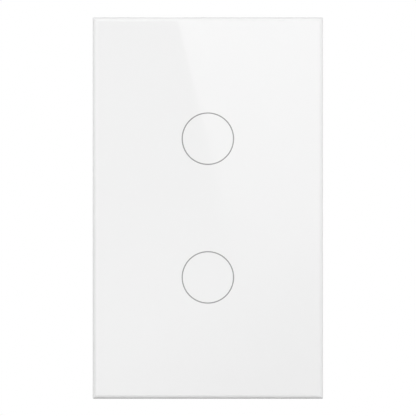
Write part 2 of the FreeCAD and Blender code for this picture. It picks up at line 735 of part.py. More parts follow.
def wall_blocks(length, reach):
    """Four rectangles on the inner walls of the housing: two at the sides and two at the top."""
    side_x, top_z = inner_half[0] - reach / 2, inner_half[1] - reach / 2
    sides = [centred(side_x * sign, d.ledge_low, reach, length) for sign in (-1, 1)]
    return sides + [centred(d.ledge_spread * sign, top_z, length, reach) for sign in (-1, 1)]


def rear_housing():
    """Moulded box behind the wall plane, with bosses, board ledges, openings for the terminals and vents."""
    body = new_body("rear_housing")
    add(body, FRONT, 0, housing_back, centred(0, 0, d.housing_width, d.housing_height))
    round_edges(body, d.housing_corner_radius, corner_edges(*housing_half))
    round_edges(body, d.housing_rear_bevel, rim_edges(housing_back, *housing_half), bevel=True)
    cut(body, FRONT, 0, rear_wall_front, centred(0, 0, inner_half[0] * 2, inner_half[1] * 2))
    add(body, FRONT, 0, rear_wall_front, *corner_blocks(boss_face, inner_half))
    step_reach = d.case_head_radius + d.step_clearance
    step_at = (boss[0] - step_reach, boss[1] - step_reach)
    cut(body, FRONT, housing_back - d.step_depth, housing_back, *corner_blocks(step_at, housing_half))
    passage = (d.case_screw_radius + d.screw_clearance) * 2
    cut(body, FRONT, 0, housing_back, *[centred(x, z, passage, passage) for x, z in quadrants(*boss)])
    add(body, FRONT, power_board_back, rear_wall_front, *wall_blocks(d.ledge_length, d.ledge_width))
    catch_back = power_board_front - d.board_catch_gap
    catches = wall_blocks(d.ledge_length, d.board_catch)
    add(body, FRONT, catch_back - d.board_catch_height, catch_back, *catches)
    window = block_half + d.terminal_gap
    cut(body, FRONT, rear_wall_front, housing_back,
        box(-window, window, -inner_half[1], block_high + d.terminal_gap))
    mouth = block_half - d.terminal_wall
    cut(body, TOP, -housing_half[1], -inner_half[1], box(-mouth, mouth, cage_front, nut_front))
    vent_z = [d.vent_low + d.vent_pitch * i for i in range(VENT_COUNT)]
    rear_vents = [centred(0, z, d.vent_length, d.vent_width) for z in vent_z]
    cut(body, FRONT, rear_wall_front, housing_back, *rear_vents)
    side_vent_y = d.side_vent_front + d.side_vent_length / 2
    side_vents = [centred(side_vent_y, z, d.side_vent_length, d.vent_width) for z in vent_z]
    cut(body, SIDE, -housing_half[0], -inner_half[0], *side_vents)
    cut(body, SIDE, inner_half[0], housing_half[0], *side_vents)


def front_carrier():
    """Moulded cover in front of the bracket: two round openings, screw bosses, rests and hooks."""
    body = new_body("front_carrier")
    width, height = carrier_half[0] * 2, carrier_half[1] * 2
    add(body, FRONT, carrier_front, bracket_front, centred(0, 0, width, height))
    round_edges(body, d.carrier_corner_radius, corner_edges(*carrier_half))
    round_edges(body, d.carrier_front_bevel, rim_edges(carrier_front, *carrier_half), bevel=True)
    hollow = centred(0, 0, width - d.carrier_wall * 2, height - d.carrier_wall * 2)
    cut(body, FRONT, carrier_plate_back, bracket_front, hollow)
    boss_far = (window_half[0] - d.lug_clearance, window_half[1] - d.lug_clearance)
    add(body, FRONT, carrier_plate_back, 0, *corner_blocks(boss_face, boss_far))
    lugs = [centred(0, lug_z * sign, d.lug_width, d.lug_thickness) for sign in (-1, 1)]
    add(body, FRONT, carrier_plate_back, -d.lug_clearance, *lugs)
    rests = [centred(x, z, d.rest_width, d.rest_width) for x, z in quadrants(d.rest_spread, d.rest_height)]
    add(body, FRONT, carrier_plate_back, touch_board_front, *rests)
    board_hooks(body)
    rib_back = carrier_plate_back + d.carrier_rib_height
    inner_width = width - d.carrier_wall * 2
    ribs = [centred(0, z, inner_width, d.carrier_rib) for z in (-d.rest_height, d.rest_height)]
    add(body, FRONT, carrier_plate_back, rib_back, *ribs)
    well_radius = d.guide_outer_radius + d.well_clearance
    wells = [circle(0, z, well_radius) for z in (-gang_z, gang_z)]
    cut(body, FRONT, carrier_front, carrier_plate_back, *wells)
    bore = (d.case_screw_radius + d.thread_clearance) * 2
    case_bores = [centred(x, z, bore, bore) for x, z in quadrants(*boss)]
    cut(body, FRONT, case_screw_tip - d.screw_clearance, 0, *case_bores)


def board_hooks(body):
    """Four hooks that reach past the edges of the touch board and hold it from behind."""
    inner = touch_board_half[0] + d.hook_clearance
    outer = inner + d.hook_thickness
    nose_front = touch_board_back + d.hook_gap
    nose_back = nose_front + d.hook_height
    nose_inner = inner - d.hook_nose
    arms = [centred(x, z, d.hook_thickness, d.hook_length)
            for x, z in quadrants((inner + outer) / 2, d.rest_height)]
    noses = [centred(x, z, outer - nose_inner, d.hook_length)
             for x, z in quadrants((nose_inner + outer) / 2, d.rest_height)]
    add(body, FRONT, carrier_plate_back, nose_back, *arms)
    add(body, FRONT, nose_front, nose_back, *noses)


def boards():
    """The touch board behind the bracket window and the power board in the housing."""
    touch = new_body("touch_board")
    add(touch, FRONT, touch_board_front, touch_board_back, notched(touch_board_half, notch))
    power = new_body("power_board")
    pin_hole = d.link_pin + d.link_clearance * 2
    pin_holes = [centred(x, d.link_z, pin_hole, pin_hole) for x in link_pin_places()]
    add(power, FRONT, power_board_front, power_board_back, notched(power_board_half, notch), *pin_holes)


def link_pin_places():
    """The X of each link pin."""
    return [d.link_x + d.link_pitch * (i - (LINK_PIN_COUNT - 1) / 2) for i in range(LINK_PIN_COUNT)]


def board_link():
    """Socket on the touch board, header on the power board and the pins that join them."""
    length = d.link_pitch * LINK_PIN_COUNT
    hole = d.link_pin + d.link_clearance * 2
    holes = [centred(x, d.link_z, hole, hole) for x in link_pin_places()]
    header_front = power_board_front - d.link_header_height
    socket = new_body("link_socket")
    add(socket, FRONT, touch_board_back, header_front, centred(d.link_x, d.link_z, length, d.link_width))
    cut(socket, FRONT, header_front - d.link_pin_reach - d.link_clearance, header_front, *holes)
    header = new_body("link_header")
    add(header, FRONT, header_front, power_board_front,
        centred(d.link_x, d.link_z, length, d.link_width), *holes)
    pins = new_body("link_pins")
    squares = [centred(x, d.link_z, d.link_pin, d.link_pin) for x in link_pin_places()]
    add(pins, FRONT, header_front - d.link_pin_reach, power_board_back + d.link_pin_tail, *squares)


def light_guides():
    """A translucent cup behind each ring, standing on the touch board."""
    front = print_back + d.guide_gap
    outer = d.guide_outer_radius
    for name, sign in (("top", 1), ("bottom", -1)):
        body = new_body(f"light_guide_{name}")
        z = gang_z * sign
        add(body, FRONT, front, touch_board_front, circle(0, z, outer), circle(0, z, outer - d.guide_wall))


def indicator_leds():
    """Two lamps inside each light guide."""
    body = new_body("indicator_leds")
    lamps = [centred(x, z, d.lamp_length, d.lamp_width) for x, z in quadrants(d.lamp_radius, gang_z)]
    add(body, FRONT, touch_board_front - d.lamp_height, touch_board_front, *lamps)


def radio():
    """Radio board and its metal can, behind the touch board."""
    module_back = touch_board_back + d.module_thickness
    module = new_body("wifi_module")
    middle_z = d.module_low + d.module_height / 2
    add(module, FRONT, touch_board_back, module_back, centred(0, middle_z, d.module_width, d.module_height))
    shield_z = d.module_low + d.shield_height / 2 + (d.module_width - d.shield_width) / 2
    shield_back = module_back + d.shield_depth
    shield = new_body("wifi_shield")
    add(shield, FRONT, module_back, shield_back, centred(0, shield_z, d.shield_width, d.shield_height))
    inner = centred(0, shield_z, d.shield_width - d.shield_sheet * 2, d.shield_height - d.shield_sheet * 2)
    cut(shield, FRONT, module_back, shield_back - d.shield_sheet, inner)


def small_chips():
    """Touch controller behind the touch board, and the supply's bridge and chips behind the power board."""
    touch = new_body("touch_chip")
    add(touch, FRONT, touch_board_back, touch_board_back + d.chip_depth,
        centred(d.chip_x, d.chip_z, d.chip_width, d.chip_height))
    bridge = new_body("bridge_rectifier")
    add(bridge, FRONT, power_board_back, power_board_back + d.bridge_depth,
        centred(d.bridge_x, d.bridge_z, d.bridge_width, d.bridge_height))
    chips = new_body("power_chips")
    places = [transformer_x - d.power_chip_spread / 2, transformer_x + d.power_chip_spread / 2]
    add(chips, FRONT, power_board_back, power_board_back + d.power_chip_depth,
        *[centred(x, d.bridge_z, d.power_chip_width, d.power_chip_height) for x in places])
    for body, back in (
        (touch, touch_board_back + d.chip_depth),
        (bridge, power_board_back + d.bridge_depth),
        (chips, power_board_back + d.power_chip_depth),
    ):
        round_edges(body, d.chip_edge_bevel, top_edges(back), bevel=True)


def top_edges(station):
    """Chooses every edge that lies at one Y station."""

    def chooser(edge):
        return near(edge.BoundBox.YMin, station) and near(edge.BoundBox.YMax, station)

    return chooser


def case_screws():
    """Four long screws from the rear of the housing into the carrier."""
    body = new_body("case_screws")
    x, z = boss
    seat = housing_back - d.step_depth
    shank = add(body, FRONT, case_screw_tip, seat, circle(x, z, d.case_screw_radius))
    head = add(body, FRONT, seat, seat + d.case_head_height, circle(x, z, d.case_head_radius))
    mirror_group(body, [shank, head], ("YZ_Plane", "XY_Plane"))


def terminal_block():
    """Moulded block with a cavity, a wire port, a tab slot and a screw collar at each pole."""
    body = new_body("terminal_block")
    add(body, FRONT, power_board_back, block_back, box(-block_half, block_half, block_low, block_high))
    cavities = [box(x - cavity_width / 2, x + cavity_width / 2, cavity_low, cavity_high) for x in pole_x]
    cut(body, FRONT, power_board_back, collar_front, *cavities)
    slot_half = bar_width / 2 + d.bar_clearance
    tabs = [box(x - slot_half, x + slot_half, tab_low, tab_high) for x in pole_x]
    cut(body, FRONT, power_board_back, bar_back + d.bar_clearance, *tabs)
    bars = [box(x - slot_half, x + slot_half, cavity_high, tab_low) for x in pole_x]
    cut(body, FRONT, bar_front - d.bar_clearance, bar_back + d.bar_clearance, *bars)
    ports = [box(x - passage_width / 2, x + passage_width / 2, jaw_back, bar_front) for x in pole_x]
    cut(body, TOP, block_low, cavity_low, *ports)
    collar_hole = (d.clamp_screw_radius + d.screw_clearance) * 2
    collars = [centred(x, cage_z, collar_hole, collar_hole) for x in pole_x]
    cut(body, FRONT, collar_front, collar_back, *collars)
    head_hole = (d.clamp_head_radius + d.recess_clearance) * 2
    heads = [centred(x, cage_z, head_hole, head_hole) for x in pole_x]
    cut(body, FRONT, collar_back, block_back, *heads)
    round_edges(body, d.terminal_bevel, port_mouths, bevel=True)


def port_mouths(edge):
    """Chooses the edges of the wire ports at the lower face of the terminal block."""
    bounds = edge.BoundBox
    on_face = near(bounds.ZMin, block_low) and near(bounds.ZMax, block_low)
    inside = bounds.YMin > plain(cage_front) and bounds.YMax < plain(nut_front)
    return on_face and inside and abs(bounds.XMin) < plain(block_half) - plain(d.terminal_bevel)


def terminal_bars():
    """Contact bars over the wire passages, each bent down to the power board."""
    body = new_body("terminal_bars")
    start = cavity_low + d.bar_clearance
    leg_low = tab_low + d.bar_clearance
    leg_high = leg_low + d.bar_thickness
    for x in pole_x:
        profile = outline((bar_front, start), (bar_back, start), (bar_back, leg_high),
                          (power_board_back, leg_high), (power_board_back, leg_low), (bar_front, leg_low))
        add(body, SIDE, x - bar_width / 2, x + bar_width / 2, profile)


def terminal_cage(number, x):
    """Square clamp round the wire and the contact bar, threaded for its screw."""
    body = new_body(f"terminal_cage_{number}")
    low = cage_z - d.cage_length / 2
    high = cage_z + d.cage_length / 2
    outer = box(x - cage_width / 2, x + cage_width / 2, cage_front, cage_back)
    inner = box(x - passage_width / 2, x + passage_width / 2, jaw_back, nut_front)
    add(body, TOP, low, high, outer, inner)
    cut(body, FRONT, nut_front, cage_back, circle(x, cage_z, d.clamp_screw_radius + d.thread_clearance))


def terminal_screw(number, x):
    """Clamp screw, held under its head by the collar of the block."""
    body = new_body(f"terminal_screw_{number}")
    add(body, FRONT, clamp_tip, clamp_head_front, circle(x, cage_z, d.clamp_screw_radius))
    add(body, FRONT, clamp_head_front, clamp_head_back, circle(x, cage_z, d.clamp_head_radius))
    slot = centred(x, cage_z, d.clamp_head_radius * 2, d.clamp_slot_width)
    cut(body, FRONT, clamp_head_back - d.clamp_slot_depth, clamp_head_back, slot)


# Relay stations along Y, counted off the power board.

base_back = power_board_back + d.relay_base
foot_front = base_back + d.relay_base_gap
foot_back = foot_front + d.yoke_steel
coil_back = foot_back + d.coil_height + d.coil_flange * 2
pole_back = coil_back + d.pole_height
armature_front = pole_back + d.pole_gap
yoke_back = armature_front - d.yoke_gap
armature_back = armature_front + d.armature_steel
leaf_back = armature_back + d.leaf_thickness
button_front = armature_back - d.contact_height
button_back = leaf_back + d.contact_height
upper_button_front = button_back + d.contact_gap
upper_arm_front = upper_button_front + d.contact_height * 1.5
upper_arm_back = upper_arm_front + d.contact_arm
lower_button_back = button_front - d.rest_gap
lower_arm_back = lower_button_back - d.contact_height * 1.5
lower_arm_front = lower_arm_back - d.contact_arm
relay_back = upper_arm_back + d.relay_head_gap + d.relay_case_wall
relay_z = block_high + d.relay_block_gap + d.relay_width / 2

# Relay stations along X, from the middle of the relay.

case_inner = d.relay_length / 2 - d.relay_case_wall
contact_post_right = case_inner - d.contact_wall_gap
contact_post_left = contact_post_right - d.contact_post
contact_offset = contact_post_left - d.contact_to_post
yoke_left = d.yoke_end_gap - case_inner
yoke_right = contact_offset - d.leaf_reach
coil_offset = (yoke_right - d.yoke_steel - case_inner) / 2
pivot_offset = yoke_right - d.yoke_steel / 2
armature_reach = pivot_offset - coil_offset + d.coil_flange_width / 2 - d.armature_short


def relay(number, x):
    """One relay: case, base, yoke with its core, coil, armature, contact leaf and fixed contacts."""
    case = new_body(f"relay_case_{number}")
    add(case, FRONT, power_board_back, relay_back, centred(x, relay_z, d.relay_length, d.relay_width))
    round_edges(case, d.relay_case_wall / 2, top_edges(relay_back), bevel=True)
    hollow_width = case_inner * 2
    hollow_height = d.relay_width - d.relay_case_wall * 2
    cut(case, FRONT, power_board_back, relay_back - d.relay_case_wall,
        centred(x, relay_z, hollow_width, hollow_height))

    base = new_body(f"relay_base_{number}")
    add(base, FRONT, power_board_back, base_back,
        centred(x, relay_z, hollow_width - d.relay_base_gap * 2, hollow_height - d.relay_base_gap * 2))

    yoke = new_body(f"relay_yoke_{number}")
    low, high = relay_z - d.yoke_width / 2, relay_z + d.yoke_width / 2
    right = x + yoke_right
    add(yoke, TOP, low, high,
        outline((x + yoke_left, foot_front), (right, foot_front), (right, yoke_back),
                (right - d.yoke_steel, yoke_back), (right - d.yoke_steel, foot_back),
                (x + yoke_left, foot_back)))
    core_x = x + coil_offset
    add(yoke, FRONT, foot_front, pole_back, centred(core_x, relay_z, d.core_width, d.core_width))

    coil = new_body(f"relay_coil_{number}")
    bore = d.core_width + d.core_clearance * 2
    add(coil, FRONT, foot_back, coil_back, circle(core_x, relay_z, d.coil_radius))
    for end_front in (foot_back, coil_back - d.coil_flange):
        add(coil, FRONT, end_front, end_front + d.coil_flange,
            centred(core_x, relay_z, d.coil_flange_width, d.coil_flange_width))
    cut(coil, FRONT, foot_back, coil_back, centred(core_x, relay_z, bore, bore))

    pivot = x + pivot_offset
    armature = new_body(f"relay_armature_{number}")
    add(armature, FRONT, armature_front, armature_back,
        box(pivot - armature_reach, pivot + d.yoke_steel / 2,
            relay_z - d.armature_width / 2, relay_z + d.armature_width / 2))

    leaf = new_body(f"relay_leaf_{number}")
    contact = x + contact_offset
    add(leaf, FRONT, armature_back, leaf_back,
        box(pivot - d.yoke_steel * 3, contact, relay_z - d.leaf_width / 2, relay_z + d.leaf_width / 2))
    button = centred(contact, relay_z, d.contact_width, d.contact_width)
    add(leaf, FRONT, button_front, button_back, button)

    contacts = new_body(f"relay_contacts_{number}")
    post_left, post_right = x + contact_post_left, x + contact_post_right
    half_button = d.contact_width / 2
    arm_left = contact - half_button
    near_side = d.contact_post_gap
    far_side = near_side + d.contact_post_width
    add(contacts, FRONT, base_back, upper_arm_back,
        box(post_left, post_right, relay_z + near_side, relay_z + far_side))
    add(contacts, FRONT, upper_arm_front, upper_arm_back,
        box(arm_left, post_right, relay_z - half_button, relay_z + far_side))
    add(contacts, FRONT, upper_button_front, upper_arm_front, button)
    add(contacts, FRONT, base_back, lower_arm_back,
        box(post_left, post_right, relay_z - far_side, relay_z - near_side))
    add(contacts, FRONT, lower_arm_front, lower_arm_back,
        box(arm_left, post_right, relay_z - far_side, relay_z + half_button))
    add(contacts, FRONT, lower_arm_back, lower_button_back, button)


def transformer():
    """Ferrite core, bobbin and winding of the small mains supply."""
    x, z = transformer_x, d.transformer_z
    front = power_board_back + d.transformer_foot
    back = front + d.core_height
    middle = front + d.core_height / 2
    half_leg = d.core_middle_leg / 2
    low, high = z - d.core_depth / 2, z + d.core_depth / 2
    left, right = x - d.core_length / 2, x + d.core_length / 2
    core = new_body("transformer_core")
    upper = box(left + d.core_leg, right - d.core_leg, middle + half_leg, back - d.core_leg)
    lower = box(left + d.core_leg, right - d.core_leg, front + d.core_leg, middle - half_leg)
    add(core, TOP, low, high, box(left, right, front, back), upper, lower)

    gap = d.bobbin_clearance
    tube_left, tube_right = left + d.core_leg + gap, right - d.core_leg - gap
    hole = centred(middle, z, d.core_middle_leg + gap * 2, d.core_depth + gap * 2)
    skin = (gap + d.bobbin_wall) * 2
    tube = centred(middle, z, d.core_middle_leg + skin, d.core_depth + skin)
    window = d.core_height - d.core_leg * 2 - gap * 2
    end = centred(middle, z, window, d.bobbin_depth)
    bobbin = new_body("transformer_bobbin")
    add(bobbin, SIDE, tube_left, tube_right, tube)
    add(bobbin, SIDE, tube_left, tube_left + d.bobbin_end_wall, end)
    add(bobbin, SIDE, tube_right - d.bobbin_end_wall, tube_right, end)
    foot_depth = (d.bobbin_depth - d.core_depth) / 2 - gap
    for side in (-1, 1):
        foot_z = z + (d.core_depth / 2 + gap + foot_depth / 2) * side
        add(bobbin, FRONT, power_board_back, front + d.core_leg + d.bobbin_end_wall,
            centred(x, foot_z, tube_right - tube_left, foot_depth))
    cut(bobbin, SIDE, tube_left, tube_right, hole)

    winding = new_body("transformer_winding")
    coil = centred(middle, z, window - d.winding_inset * 4, d.bobbin_depth - d.winding_inset * 2)
    add(winding, SIDE, tube_left + d.bobbin_end_wall, tube_right - d.bobbin_end_wall, coil, tube)


def capacitors():
    """Two upright cans and the boxed safety capacitor."""
    front = power_board_back
    back = front + d.bulk_height
    bulk = new_body("bulk_capacitors")
    cans = [circle(d.bulk_x, z, d.bulk_radius) for z in (d.bulk_upper_z, d.bulk_lower_z)]
    add(bulk, FRONT, front, back, *cans)
    safety = new_body("safety_capacitor")
    add(safety, FRONT, front, front + d.safety_height,
        centred(safety_x, d.safety_z, d.safety_thickness, d.safety_length))
    round_edges(safety, d.safety_bevel, top_edges(front + d.safety_height), bevel=True)


def leaded_parts():
    """Varistor disc on its leads, and the fuse resistor lying on the power board."""
    varistor = new_body("varistor")
    centre_y = power_board_back + d.lead_height + d.varistor_radius
    left, right = varistor_x - d.varistor_thickness / 2, varistor_x + d.varistor_thickness / 2
    add(varistor, SIDE, left, right, circle(centre_y, d.varistor_z, d.varistor_radius))
    leads = [centred(varistor_x, d.varistor_z + d.lead_spread * side, d.lead_width, d.lead_width)
             for side in (-1, 1)]
    add(varistor, FRONT, power_board_back, centre_y, *leads)
    fuse = new_body("fuse_resistor")
    fuse_y = power_board_back + d.fuse_radius
    add(fuse, SIDE, fuse_x - d.fuse_length / 2, fuse_x + d.fuse_length / 2,
        circle(fuse_y, d.fuse_z, d.fuse_radius))


def joined_arcs(start, start_way, end, end_way):
    """Two arcs from start to end, tangent to both ways and to each other, with equal tangent lengths."""
    span = end - start
    ways = start_way + end_way
    a = 2 * (1 - start_way.dot(end_way))
    b = 2 * span.dot(ways)
    c = -span.dot(span)
    if abs(a) < 1e-9:
        reach = -c / b
    else:
        reach = (-b + math.sqrt(b * b - 4 * a * c)) / (2 * a)
    first_corner = start + start_way * reach
    second_corner = end - end_way * reach
    meeting = (first_corner + second_corner) * 0.5
    arcs = []
    for near_end, corner, far_end in ((start, first_corner, meeting), (meeting, second_corner, end)):
        chord_middle = (near_end + far_end) * 0.5
        outward = corner - chord_middle
        half_chord = (far_end - near_end).Length / 2
        half_angle = math.atan2(outward.Length, half_chord)
        rise = half_chord * math.tan(half_angle / 2)
        outward.normalize()
        arcs.append(Part.Arc(near_end, chord_middle + outward * rise, far_end).toShape())
    return arcs


def touch_spring(name, z):
    """Wound spring between the touch board and the print, with straight ends."""
    radius, wire = d.spring_radius.value, d.spring_wire.value
    low_y = touch_board_front.value
    high_y = print_back.value + d.spring_gap.value
    stub = wire
    lead_angle = math.radians(30)
    first_y, last_y = low_y - stub - wire, high_y + stub + wire
    rise = (last_y - first_y) / (2 * math.pi * SPRING_TURNS)

    def on_turn(angle):
        return Vector(radius * math.cos(angle), first_y + rise * angle, radius * math.sin(angle))

    def way_at(angle):
        way = Vector(-radius * math.sin(angle), rise, radius * math.cos(angle))
        return way.normalize()

    def on_rim(angle, y):
        return Vector(radius * math.cos(angle), y, radius * math.sin(angle))

    into_spring = Vector(0, -1, 0)
    last_angle = 2 * math.pi * SPRING_TURNS
    foot, foot_top = on_rim(-lead_angle, low_y), on_rim(-lead_angle, low_y - stub)
    crown, crown_low = on_rim(last_angle + lead_angle, high_y), on_rim(last_angle + lead_angle, high_y + stub)
    edges = [Part.LineSegment(foot, foot_top).toShape()]
    edges += joined_arcs(foot_top, into_spring, on_turn(0), way_at(0))
    steps = SPRING_TURNS * 2
    for i in range(steps):
        start, end = last_angle * i / steps, last_angle * (i + 1) / steps
        edges += joined_arcs(on_turn(start), way_at(start), on_turn(end), way_at(end))
    edges += joined_arcs(on_turn(last_angle), way_at(last_angle), crown_low, into_spring)
    edges.append(Part.LineSegment(crown_low, crown).toShape())
    path = Part.Wire(edges)
    angles = [math.pi * (2 * i + 1) / SPRING_WIRE_SIDES for i in range(SPRING_WIRE_SIDES)]
    corners = [foot + Vector(math.cos(angle), 0, math.sin(angle)) * (wire / 2) for angle in angles]
    section = Part.makePolygon(corners + corners[:1])
    spring = doc.addObject("Part::Feature", name)
    spring.Label = name
    spring.Shape = path.makePipeShell([section], True, False)
    bind(spring, "Placement.Base.z", z)
    nodes.append(spring)
    return path


def least_self_gap(path, wire, apart):
    """The least clear distance between stretches of a wound wire that lie at least apart along it."""
    points = path.discretize(Distance=wire / 2)
    spacing = path.Length / (len(points) - 1)
    skip = int(apart / spacing)
    gaps = [
        (points[i] - points[j]).Length
        for i in range(len(points))
        for j in range(i + skip, len(points))
    ]
    return min(gaps) - wire


def build_all():
    """Build every piece of the switch."""
    glass_panel()
    back_print()
    ring_windows()
    panel_adhesive()
    panel_frame()
    mounting_bracket()
    rear_housing()
    front_carrier()
    boards()
    board_link()
    light_guides()
    indicator_leds()
    radio()
    small_chips()
    case_screws()
    terminal_block()
    terminal_bars()
    for number, x in enumerate(pole_x, start=1):
        terminal_cage(number, x)
        terminal_screw(number, x)
    relay_offset = (d.relay_length + d.relay_spacing) / 2
    relay(1, -relay_offset)
    relay(2, relay_offset)
    transformer()
    capacitors()
    leaded_parts()
    path = touch_spring("touch_spring_top", gang_z)
    touch_spring("touch_spring_bottom", -gang_z)
    half_turn = math.pi * d.spring_radius.value
    gap = least_self_gap(path, d.spring_wire.value, half_turn)
    print(f"touch springs: least gap between turns {gap:.2f} mm")


def check_document():
    """Stop if a feature failed, a cut missed its solid or a piece has no sound shape."""
    for item in doc.Objects:
        if "Invalid" in item.State or "Error" in item.State:
            raise RuntimeError(f"{item.Label} failed: {item.State}")
        if item.TypeId == "PartDesign::Pocket":
            if item.Shape.Volume > item.BaseFeature.Shape.Volume - 1e-6:
                raise RuntimeError(f"{item.Label} cuts nothing")
    for node in nodes:
        if node.Shape.isNull() or not node.Shape.isValid() or not node.Shape.Solids:
            raise RuntimeError(f"{node.Label} has no sound shape")


build_all()
doc.recompute()
check_document()
os.makedirs("parts", exist_ok=True)
for node in nodes:
    node.Shape.exportStep(f"parts/{node.Label}.step")
print(f"{len(nodes)} pieces written")
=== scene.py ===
"""Looks of a two-gang glass touch switch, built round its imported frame.

Lengths are in metres. X runs across the plate, Z up it and Y into the wall; the wall plane is Y = 0.
"""

import json
import logging
import math
from dataclasses import dataclass
from enum import Enum
from functools import cache

import bmesh
import bpy
import numpy as np
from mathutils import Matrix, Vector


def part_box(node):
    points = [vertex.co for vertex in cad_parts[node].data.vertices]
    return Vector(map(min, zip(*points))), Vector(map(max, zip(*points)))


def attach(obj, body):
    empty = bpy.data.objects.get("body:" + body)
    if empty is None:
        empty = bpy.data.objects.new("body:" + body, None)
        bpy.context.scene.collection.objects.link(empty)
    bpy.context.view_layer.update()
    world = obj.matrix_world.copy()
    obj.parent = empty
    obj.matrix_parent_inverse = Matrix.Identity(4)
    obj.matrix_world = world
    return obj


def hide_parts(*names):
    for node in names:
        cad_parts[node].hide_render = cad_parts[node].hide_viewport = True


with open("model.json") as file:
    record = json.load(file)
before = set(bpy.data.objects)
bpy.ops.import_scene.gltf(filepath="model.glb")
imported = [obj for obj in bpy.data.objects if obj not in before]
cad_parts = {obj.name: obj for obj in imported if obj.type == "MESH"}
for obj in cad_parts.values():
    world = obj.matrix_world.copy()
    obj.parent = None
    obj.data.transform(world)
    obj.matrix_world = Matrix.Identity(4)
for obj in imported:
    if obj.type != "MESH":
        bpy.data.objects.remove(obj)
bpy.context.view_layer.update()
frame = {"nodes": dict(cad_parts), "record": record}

MILLIMETRE = 0.001
LOG = logging.getLogger("touch_switch")

Pair = tuple[float, float]
Triple = tuple[float, float, float]
Colour = Triple
Piece = bpy.types.Object
Shell = tuple[np.ndarray, list[np.ndarray]]
Socket = bpy.types.NodeSocket
Value = float | Socket

WHITE: Colour = (1.0, 1.0, 1.0)
SECTION_SIDES = np.array([-1.0, -1.0, 1.0, 1.0])
SECTION_TOPS = np.array([0.0, 1.0, 1.0, 0.0])
SOLDER_FILM = 0.00003


class Side(Enum):
    """The two gangs, one above the other."""

    TOP = 1
    BOTTOM = -1


class Drive(Enum):
    """Drive recess of a screw head, by its number of slots."""

    SLOT = 1
    CROSS = 2


class ShaderBench:
    """Adds nodes to one shader tree and joins them."""

    def __init__(self, tree: bpy.types.NodeTree) -> None:
        """Take the node tree of a material, a world or a group."""
        self.tree = tree

    def node(self, kind: str, values: dict | None = None, **settings) -> bpy.types.Node:
        """Add a node, set its properties, and set or link its inputs.

        Args:
            kind: Kind of shader node, such as "Math".
            values: Input name or index against a plain value, a socket, or a node for its first output.
            **settings: Properties of the node itself.

        Returns:
            The new node.
        """
        node = self.tree.nodes.new(f"ShaderNode{kind}")
        for name, setting in settings.items():
            setattr(node, name, setting)
        for name, value in (values or {}).items():
            target = node.inputs[name]
            value = value.outputs[0] if isinstance(value, bpy.types.Node) else value
            if isinstance(value, Socket):
                self.tree.links.new(value, target)
            else:
                target.default_value = (*value, 1.0) if target.type == "RGBA" else value
        return node

    def math(self, operation: str, *values: Value, clamp: bool = False) -> Socket:
        """Return the result of one arithmetic step."""
        return self.node("Math", dict(enumerate(values)), operation=operation, use_clamp=clamp).outputs[0]

    def sway(self, value: Value, swing: Value, base: Value, clamp: bool = False) -> Socket:
        """Return base + swing * (value - one half)."""
        return self.math("MULTIPLY_ADD", self.math("SUBTRACT", value, 0.5), swing, base, clamp=clamp)

    def beyond(self, value: Socket, distance: Value) -> Socket:
        """Return the absolute value less a distance."""
        return self.math("SUBTRACT", self.math("ABSOLUTE", value), distance)

    def split(self, vector: Socket) -> tuple[Socket, ...]:
        """Return the three parts of a vector."""
        return tuple(self.node("SeparateXYZ", {0: vector}).outputs)

    def reach(self, across: Socket, up: Socket) -> Socket:
        """Return the length of the flat vector (across, up)."""
        flat = self.node("CombineXYZ", {0: across, 1: up})
        return self.node("VectorMath", {0: flat}, operation="LENGTH").outputs["Value"]

    def scaled(self, vector: Socket, scale: Socket | Triple) -> Socket:
        """Stretch a vector along each axis."""
        return self.node("VectorMath", {0: vector, 1: scale}, operation="MULTIPLY").outputs[0]

    def dimmed(self, colour: Socket | Colour, gain: Socket) -> Socket:
        """Multiply a colour by a number."""
        return self.node("VectorMath", {0: colour, "Scale": gain}, operation="SCALE").outputs[0]

    def blend(self, share: Value, first: Socket | Colour, second: Socket | Colour) -> Socket:
        """Mix two colours by a share."""
        return self.node("Mix", {0: share, 6: first, 7: second}, data_type="RGBA").outputs[2]

    def noise(self, vector: Socket, scale: Value, detail: float = 2.0, roughness: float = 0.5) -> Socket:
        """Return the value of a noise pattern, which swings about one half."""
        inputs = {"Vector": vector, "Scale": scale, "Detail": detail, "Roughness": roughness}
        return self.node("TexNoise", inputs).outputs["Fac"]

    def ramp(self, value: Socket, low: float, high: float, start: float = 0.0, end: float = 1.0) -> Socket:
        """Map a value smoothly from one range to another.

        Args:
            value: The value to map.
            low: Where the smooth step begins.
            high: Where it ends.
            start: Result at low.
            end: Result at high.

        Returns:
            The mapped value, level outside the range.
        """
        inputs = {"Value": value, "From Min": low, "From Max": high, "To Min": start, "To Max": end}
        return self.node("MapRange", inputs, interpolation_type="SMOOTHSTEP").outputs["Result"]


